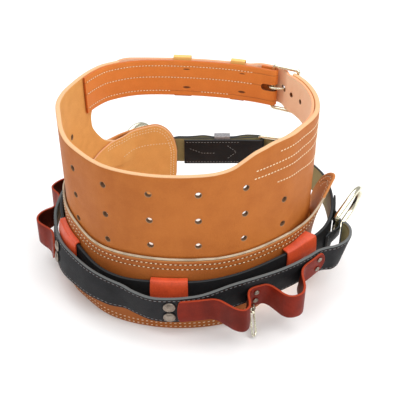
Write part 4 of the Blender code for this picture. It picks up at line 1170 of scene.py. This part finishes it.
# %% [markdown]
# The red keepers hold the load strap to the cushion. Each is a bridge: two legs end on the cushion, and
# the back stands a little proud of the strap, rounded where waxed leather bends.

# %% Red keepers
KEEPER_WIDE = 47.0
RED_THICK = 2.4
RED_BULGE = 1.4
RED_ROOM = 2.0
RED_SEAT = 0.8
RED_CLEAR = 1.0
RED_KEEPERS = (-205.0, -40.0, 144.0, -391.0)
for number, mid in enumerate(RED_KEEPERS, 1):
    s = mid + KEEPER_WIDE * (np.linspace(0, 1, 17) - 0.5)
    high = np.interp(s, LOAD_FINE[:, 0], LOAD_FINE[:, 2]) + RED_ROOM
    low = high - BLACK_STRAP - 2 * RED_ROOM
    seat_high, seat_low = cushion_out(s, high) + RED_SEAT, cushion_out(s, low) + RED_SEAT
    face_high, face_low = load_face(s, high) + RED_CLEAR, load_face(s, low) + RED_CLEAR
    t = RED_THICK
    middle = 0.5 * (face_high + face_low) + t
    section = [(seat_high, high + t), (face_high + t - 4, high + t), (face_high + t - 1.2, high + t - 1.2),
               (face_high + t, high + t - 5), (middle + RED_BULGE * 0.8, 0.7 * high + 0.3 * low),
               (middle + RED_BULGE, 0.5 * (high + low)), (middle + RED_BULGE * 0.8, 0.3 * high + 0.7 * low),
               (face_low + t, low - t + 5), (face_low + t - 1.2, low - t + 1.2), (face_low + t - 4, low - t),
               (seat_low, low - t), (seat_low, low), (face_low - 1, low), (face_low, low + 1),
               (face_high, high - 1), (face_high - 1, high), (seat_high, high)]
    out = np.stack([row[0] for row in section], axis=1)
    z = np.stack([row[1] for row in section], axis=1)
    plan = ring_point(s)[:, None] + out[..., None] * ring_normal(s)[:, None]
    points = np.concatenate([plan, z[..., None]], -1)
    count = len(section)
    faces = grid_faces(len(s), count, closed_columns=True).tolist()
    faces += [list(range(count))[::-1], [(len(s) - 1) * count + k for k in range(count)]]
    marks = {"edge": np.zeros(points.size // 3), "inner": np.zeros(points.size // 3)}
    flat = np.stack([np.repeat(s, count), z.ravel()], -1)
    piece("cushion_keeper_%d" % number, points.reshape(-1, 3), faces, LEATHER["red"], flat, marks, bevel=0.6)

# %% [markdown]
# The tool strap stands off the back in one long curve and turns in at the D-rings. Two strips of oiled
# leather are riveted to it in waves, and the waves are the loops for tools.

# %% Tool strap and loops
tool_rows = ring_rows([
    # s, out, top, lean
    (-429.5, 29.9, 98, 0), (-433, 35.5, 98, 0), (-435, 44.5, 98, 0), (-433, 53.5, 98, 0),
    (-425, 60.0, 98, 0), (-414, 62.0, 98, 0), (-403, 58.0, 98, 0), (-392, 50.0, 98, 0), (-379, 41.0, 98, 3),
    (-364, 34.0, 97, 6), (-344, 27.0, 96, 9), (-320, 22.0, 94, 10),
    (-295, 20.8, 92, 9), (-270, 21.2, 90.5, 7), (-247, 21.6, 89.5, 6), (-227, 21.8, 89, 6),
    (-213, 22.2, 88.5, 7), (-200, 23.0, 88, 9), (-185, 24.0, 88, 10), (-161, 25.0, 87.5, 8),
    (-144, 25.5, 87, 7), (-127, 26.0, 86, 4), (-111, 26.6, 84, 1), (-96, 27.0, 81, -6), (-81, 32.0, 79, -8),
    (-58, 38.0, 78, -7), (-34, 37.0, 78, -5), (-11, 35.0, 79, -5), (2, 34.0, 81, -5), (32, 30.5, 87, -5),
    (62, 31.5, 90, -8), (98, 35.0, 91, -8), (127, 36.5, 91, -8), (137, 39.0, 91.5, -8),
    (150, 43.0, 92, -8), (160, 48.5, 93, -8), (168, 57.0, 94, -6), (175, 62.5, 94.5, -8),
    (182, 66.5, 95, -12), (190, 67.5, 95, -14), (200, 64.0, 95, -10), (207, 58.0, 95, -5),
    (210, 53.0, 95, 0), (208.5, 48.2, 95, 0),
])
tool = Strap(tool_rows)
leather("tool_strap", tool, strap_outline(tool.length, BLACK_STRAP), BLACK_THICK, LEATHER["black"],
        step=2.5, rim=1.0)


def along_tool(s, out):
    return tool.nearest(off_ring(s, out))


TOOL_NEAR = [
    # s, out of places near the tool strap
    (-400, 56.5), (-375, 38.5), (-348, 28), (-320, 21.5), (-295, 19.5), (-270, 20), (-247, 21.5),
    (-227, 21.5), (-195, 23.4), (-161, 25), (-111, 26.5), (-58, 38), (-34, 37), (-11, 35), (2, 34),
    (32, 30.5), (62, 31.5), (98, 35), (127, 35.5), (150, 42), (160, 48.5),
]
TOOL_AT = [(s, along_tool(s, out)) for s, out in TOOL_NEAR]


def strip_rows(table):
    return [(column(TOOL_AT, s, 1), off, top) for s, off, top in table]


SEAT = STRIP_THICK + 1.15
right_loops = Looped(tool, strip_rows([
    # s, off the tool strap, top
    (-29, SEAT, 76), (-12, SEAT, 76), (2, SEAT + 0.4, 76), (10, 6, 76), (16, 11, 76), (21, 20, 76),
    (26, 29, 76), (32, 35.5, 76), (39, 37, 76), (45.5, 32, 76), (49, 23, 76), (51.5, 13, 76), (55, 6, 76),
    (60, SEAT, 77), (68, SEAT, 77), (75, 4.8, 77), (79.5, 10, 77), (82.5, 19, 77), (85.5, 29, 77),
    (90, 36, 77), (97, 39, 77), (104, 38, 77), (110, 32, 78), (116, 22, 78), (121, 12.5, 79), (127, 6, 81),
    (134, SEAT, 84), (144, SEAT + 0.4, 88), (158, SEAT + 0.8, 93),
]))
left_loops = Looped(tool, strip_rows([
    (-402, SEAT, 84), (-386, SEAT, 84), (-371, 4.6, 83), (-361, 9, 82), (-353, 18, 82), (-345, 25, 81),
    (-335, 26.5, 81), (-327, 20, 80), (-320, 10.5, 80), (-313, 5, 80), (-305, SEAT, 80), (-298, SEAT, 80),
    (-291, 7, 80), (-286, 15, 80), (-280, 22.5, 80), (-272, 27, 80), (-263, 25.5, 80), (-255, 18, 79),
    (-248, 10, 78), (-241, 5, 77), (-233, SEAT, 76), (-223, SEAT, 76),
]))
EYE_S, EYE_DROP = 61.5, 34.5


def along_loops(home, s):
    return float(np.interp(column(TOOL_AT, s, 1), home.path[:, 0], home.at))


EYE_U = along_loops(right_loops, EYE_S)
EYE_RADIUS = 2.2
STRIP_LEVELS = (9.3, 19.0, 28.7)
STRIPS = [
    # name, home, holes
    ("right", right_loops, [circle(EYE_U, EYE_DROP, EYE_RADIUS)]), ("left", left_loops, []),
]
for name, home, eyes in STRIPS:
    outline = strap_outline(home.length, STRIP_WIDTH, start=5, nose=12)
    leather("tool_loops_" + name, home, outline, STRIP_THICK, LEATHER["latigo"], holes=eyes,
            step=1.9, levels=STRIP_LEVELS, rim=0.55)

# %% Rivets
DOME = [
    # out of the leather, radius
    (-0.2, 0), (-0.2, 7.6), (0.2, 8.1), (0.9, 8.2), (1.5, 7.9), (1.8, 7.3), (1.75, 6.7), (1.5, 6.3),
    (1.9, 5.7), (2.6, 4.9), (3.0, 4.2), (3.3, 3.1), (3.45, 2.2), (3.2, 1.6), (3.3, 0.9), (3.5, 0),
]
DOME_BEADS = (14, 6.4, 8.0, 0.16)
RING_HEAD = [
    # out of the leather, radius
    (0, 0), (0, 3.5), (0.4, 3.8), (0.9, 3.8), (1.4, 3.4), (1.55, 2.8), (1.5, 2.2), (1.1, 1.7), (0.7, 1.4),
    (0.6, 0.7), (0.7, 0),
]


def rivet(name, home, u, drop, profile, stand=0.6, ripple=None):
    """A head on a face: its axis is square to the face, found from steps along it and down it."""
    a, b, c, d, e, f = home.place(np.array([u, u, u + 3, u - 3, u, u]),
                                  np.array([drop, drop, drop, drop, drop + 3, drop - 3]),
                                  np.array([0.0, 2.0, 0, 0, 0, 0]))
    axis = np.cross(c - d, e - f)
    axis *= np.sign(axis.dot(a - b)) / np.linalg.norm(axis)
    turned(name, a + axis * stand, axis, profile, ANTIQUE, ripple=ripple)


DOME_RIVETS = [
    # s, out, drop
    (-38, 37, 13.5), (-38, 37, 32.5), (-213, 21.5, 13.5), (-213, 21.5, 32.5),
]
for number, (s, out, drop) in enumerate(DOME_RIVETS, 1):
    rivet("dome_rivet_%d" % number, tool, along_tool(s, out), drop, DOME, stand=0.9, ripple=DOME_BEADS)
RING_RIVETS = [
    # strip, s, drop
    (right_loops, 64, 10), (right_loops, 64, 26), (right_loops, 148, 9), (right_loops, 148, 27),
    (left_loops, -300, 10), (left_loops, -300, 27), (left_loops, -394, 10), (left_loops, -394, 27),
]
for number, (home, s, drop) in enumerate(RING_RIVETS, 1):
    rivet("ring_rivet_%d" % number, home, along_loops(home, s), drop, RING_HEAD)

# %% [markdown]
# A small snap hangs on a ring through the strip. It leans out, and its foot ends just above the
# floor. A swivel under the eye lets the hook turn away from the ring's own plane.

# %% Snap on its ring
RING_RADIUS = 5.0
RING_WIRE = 1.1
HOOK_WIRE = 1.5
HOOK_HALF = 3.6
HOOK_CLEAR = 3.0
SWIVEL_DROP = 5.5
HOOK_LEAN = 0.84
HOOK_SWING = 0.19
RING_TURN = math.radians(25)
eye = right_loops.place(np.array([EYE_U]), np.array([EYE_DROP]), np.array([STRIP_THICK / 2]))[0]
hang_n = tool.face_normal(column(TOOL_AT, EYE_S, 1))
hang_t = np.array([-hang_n[1], hang_n[0]])
ring_z = eye[2] - RING_RADIUS


def hung(along, out, z):
    """Points near the snap's ring: along the strip, out from it, and their heights."""
    along, out = np.asarray(along)[:, None], np.asarray(out)[:, None]
    return np.c_[eye[:2] + hang_t * along + hang_n * out, z]


a = np.radians(np.arange(0, 360, 10))
reach = RING_RADIUS * np.cos(a)
ring_path = hung(reach * math.sin(RING_TURN), reach * math.cos(RING_TURN), ring_z + RING_RADIUS * np.sin(a))
ring_flat = hang_t * math.cos(RING_TURN) - hang_n * math.sin(RING_TURN)
bar("snap_ring", ring_path, RING_WIRE, (*ring_flat, 0), ANTIQUE, sides=10, closed=True)


def hook_point(across, z):
    """The hook's own plane, falling away from the ring below the swivel."""
    fall = np.maximum(0.0, hook_top - z - SWIVEL_DROP)
    along = across * math.cos(RING_TURN) - HOOK_SWING * fall
    return hung(along, -across * math.sin(RING_TURN) + HOOK_LEAN * fall, z)


hook_top = ring_z - RING_RADIUS + RING_WIRE + GAP + HOOK_WIRE
hook_low = HOOK_CLEAR + HOOK_WIRE
top_arc, low_arc = np.radians(np.arange(0, 181, 15)), np.radians(np.arange(180, 361, 15))
across = HOOK_HALF * np.r_[np.cos(top_arc), [-1, -1, -1], np.cos(low_arc), [1, 1, 1]]
legs = np.linspace(hook_top - HOOK_HALF, hook_low + HOOK_HALF, 5)[1:-1]
height = np.r_[hook_top - HOOK_HALF + HOOK_HALF * np.sin(top_arc), legs,
               hook_low + HOOK_HALF + HOOK_HALF * np.sin(low_arc), legs[::-1]]
hook_path = hook_point(across, height)
hook_flat = np.cross(hook_path[6] - hook_path[0], hook_path[16] - hook_path[0])
bar("snap_hook", hook_path, HOOK_WIRE, hook_flat, NICKEL, sides=12, closed=True)
SWIVEL = [
    # along the hook, radius
    (-2.2, 0), (-2.2, 3.6), (-1.6, 4.3), (-0.6, 4.5), (0.6, 4.5), (1.6, 4.3), (2.2, 3.6), (2.2, 0),
]
swivel_z = hook_top - SWIVEL_DROP - 1.5
swivel, swivel_end = hook_point(np.zeros(2), np.array([swivel_z, swivel_z - 4.0]))
turned("snap_swivel", swivel, swivel_end - swivel, SWIVEL, NICKEL, sides=24)

# %% [markdown]
# The rows of stitching come last, because they are laid on faces that are already in place. Long and pale
# on the pad, finer round the cushion, and grey and dashed along the black straps.

# %% Rows along an edge
def inset_row(row, gap, left=True):
    """A row of blank points moved off an edge by a gap, to its left or right."""
    row = np.asarray(row, float)
    way = unit(np.gradient(row, axis=0))
    side = np.c_[-way[:, 1], way[:, 0]] * (1 if left else -1)
    return row + gap * side


def part_of(row, low, high):
    row = np.asarray(row, float)
    return row[(row[:, 0] >= low) & (row[:, 0] <= high)]


def level_row(u0, u1, v, count=40):
    return np.c_[np.linspace(u0, u1, count), np.full(count, v)]


NEAR_PITCH = 6.3
FAR_PITCH = 4.9
CHAPE_SEWN = 0.86
PAD_STITCHES = [
    # the four rows that sew the tongue to the pad, as (s, z) on its outer face
    [(108, 253), (160, 255), (220, 253), (262, 252), (328, 252)],
    [(72, 235), (120, 238), (180, 240), (240, 240), (328, 240)],
    [(70, 224), (120, 226), (180, 226), (240, 225), (328, 225)],
    [(106, 208), (150, 206), (200, 200), (236, 194), (256, 190)],
]
stitches("pad_stitches", [(pad_home, spline(row, parts=12), 0.0, FAR_PITCH) for row in PAD_STITCHES],
         "tan_leather", THREAD_PAINT, share=0.7, thread=0.8)

top_row = part_of(cushion_edge, -500, 236)
bottom_row = part_of(cushion_low[::-1], -508, 236)
BOTTOM_ROWS = (4.0, 9.5)
cushion_runs = [(cushion_home, inset_row(top_row, gap, left=False), 0.0, NEAR_PITCH) for gap in CUSHION_ROWS]
cushion_runs += [(cushion_home, inset_row(bottom_row, gap), 0.0, NEAR_PITCH) for gap in BOTTOM_ROWS]
stitches("cushion_stitches", cushion_runs, "tan_leather", THREAD_PAINT, share=0.52, thread=0.66)

lining_top = spline(LINING_TOP, parts=6)
wing_left = np.vstack([lining_edge[-18:], part_of(lining_top, -532, -395)])
wing_right = np.vstack([part_of(lining_top, 200, 259), lining_edge[4 * len(LINING_TOP) - 3:][:12]])
wing_across = spline([(-520, 116), (-495, 114), (-465, 110), (-430, 100)], parts=8)
wing_outer = part_of(cushion_edge, 214, 268)
WING_RUNS = [
    # home, edge, insets, depth of the face
    (lining_home, wing_left, (5.0, 9.5), LINING_THICK), (lining_home, wing_across, (0.0,), LINING_THICK),
    (lining_home, wing_right, (4.5, 8.5), LINING_THICK),
    (cushion_home, wing_outer, CUSHION_ROWS, CUSHION_THICK),
]
wing_runs = [(home, inset_row(edge, gap, left=False), depth, FAR_PITCH)
             for home, edge, gaps, depth in WING_RUNS for gap in gaps]
stitches("wing_stitches", wing_runs, "tan_leather", THREAD_PAINT, share=0.6, thread=0.75)

strap_end = bar_u - 34
BUCKLE_RUNS = [
    # from, to, across
    (3.5, strap_end, BUCKLE_ROWS[0]), (3.5, strap_end, BUCKLE_ROWS[1]), (3.5, 154, BUCKLE_ROWS[2]),
    (197, 245, BUCKLE_ROWS[2]), (275, strap_end - 4, BUCKLE_ROWS[2]),
]
buckle_runs = [(buckle_strap_home, level_row(*run), BUCKLE_STRAP_THICK, FAR_PITCH) for run in BUCKLE_RUNS]
stitches("buckle_strap_stitches", buckle_runs, "orange_leather", THREAD_PAINT, thread=0.7)

tongue_runs = [(tongue_home, level_row(54, tongue_home.length - 32, v), depth, FAR_PITCH)
               for v in (3.4, 53.6) for depth in (0.0, TONGUE_THICK)]
stitches("tongue_stitches", tongue_runs, "pink_leather", THREAD_PAINT, thread=0.45)

black_runs = [(tool, level_row(4, tool.length - 4, v), 0.0, NEAR_PITCH) for v in BLACK_ROWS]
LOAD_STITCHES = [
    # the folded end's rows, as (u, drop)
    [(2, BLACK_ROWS[0]), (92, BLACK_ROWS[0])], [(2, BLACK_ROWS[1]), (92, BLACK_ROWS[1])],
    [(8, 15), (30, 24), (52, 24)], [(70, 9), (86, 22), (70, 36)],
]
black_runs += [(load, row, 0.0, FAR_PITCH) for row in LOAD_STITCHES]
for chape_home, corners in chape_edges.values():
    middle = corners.mean(axis=0)
    inner = middle + (corners - middle) * CHAPE_SEWN
    black_runs += [(chape_home, inner[[a, b]], 0.0, FAR_PITCH) for a, b in ((0, 3), (1, 2))]
stitches("strap_stitches", black_runs, "black_leather", GREY_THREAD, thread=0.42, slant=0.0)

# %% [markdown]
# The picture was taken from about a metre and thirty-five degrees above, in flat white light. Most of it
# comes from a wide soft ceiling, a key stands at the right, a weak light fills from the left, and the
# room is white.

# %% Floor, light and camera
CAMERA_BACK = 827.0
CAMERA_HIGH = 714.0
LOOK_HIGH = 135.0
FOCAL_PIXELS = 720.0
FRAME_PIXELS = 400.0
SENSOR = 36.0

floor_mesh = bpy.data.meshes.new("floor")
floor_mesh.from_pydata([(-6, -6, 0), (6, -6, 0), (6, 6, 0), (-6, 6, 0)], [], [(0, 1, 2, 3)])
floor = bpy.data.objects.new("floor", floor_mesh)
bpy.context.scene.collection.objects.link(floor)
floor_paint = bpy.data.materials.new("floor")
floor_paint.use_nodes = True
floor_inputs = floor_paint.node_tree.nodes["Principled BSDF"].inputs
floor_inputs["Base Color"].default_value = (0.95, 0.95, 0.95, 1)
floor_inputs["Roughness"].default_value = 0.9
floor_mesh.materials.append(floor_paint)

world = bpy.data.worlds.new("white room")
world.use_nodes = True
world_inputs = world.node_tree.nodes["Background"].inputs
world_inputs["Color"].default_value = (1, 1, 1, 1)
world_inputs["Strength"].default_value = 0.5
bpy.context.scene.world = world
bpy.context.scene.view_settings.view_transform = "Standard"


def soft_light(name, place, size, watts, aim=(0, 0, 0.12)):
    light = bpy.data.lights.new(name, "AREA")
    light.shape = "SQUARE"
    light.size = size
    light.energy = watts
    made = bpy.data.objects.new(name, light)
    made.location = place
    way = np.array(aim) - np.array(place)
    flat = math.hypot(way[0], way[1])
    made.rotation_euler = (math.atan2(flat, -way[2]), 0, math.atan2(way[1], way[0]) - math.pi / 2)
    bpy.context.scene.collection.objects.link(made)


LIGHTS = [
    # name, place, size in metres, watts
    ("ceiling", (0.0, 0.2, 2.0), 2.5, 46),
    ("key", (1.2, -0.8, 1.3), 1.0, 12),
    ("fill", (-1.1, -0.9, 1.2), 1.4, 4),
]
for row in LIGHTS:
    soft_light(*row)

view = bpy.data.cameras.new("view")
view.sensor_width = SENSOR
view.lens = SENSOR * FOCAL_PIXELS / FRAME_PIXELS
camera = bpy.data.objects.new("view", view)
camera.location = (np.array([0, -CAMERA_BACK, CAMERA_HIGH]) - ORIGIN) * MM
camera.rotation_euler = (math.atan2(CAMERA_BACK, CAMERA_HIGH - LOOK_HIGH), 0, 0)
bpy.context.scene.collection.objects.link(camera)
bpy.context.scene.camera = camera

# %% Sizes, and the last word to the frame
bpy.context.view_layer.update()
triangles = {made.name: sum(len(f.vertices) - 2 for f in made.data.polygons) for made in PIECES}
print("pieces:", len(PIECES), "triangles:", sum(triangles.values()), "most in one:", max(triangles.values()))
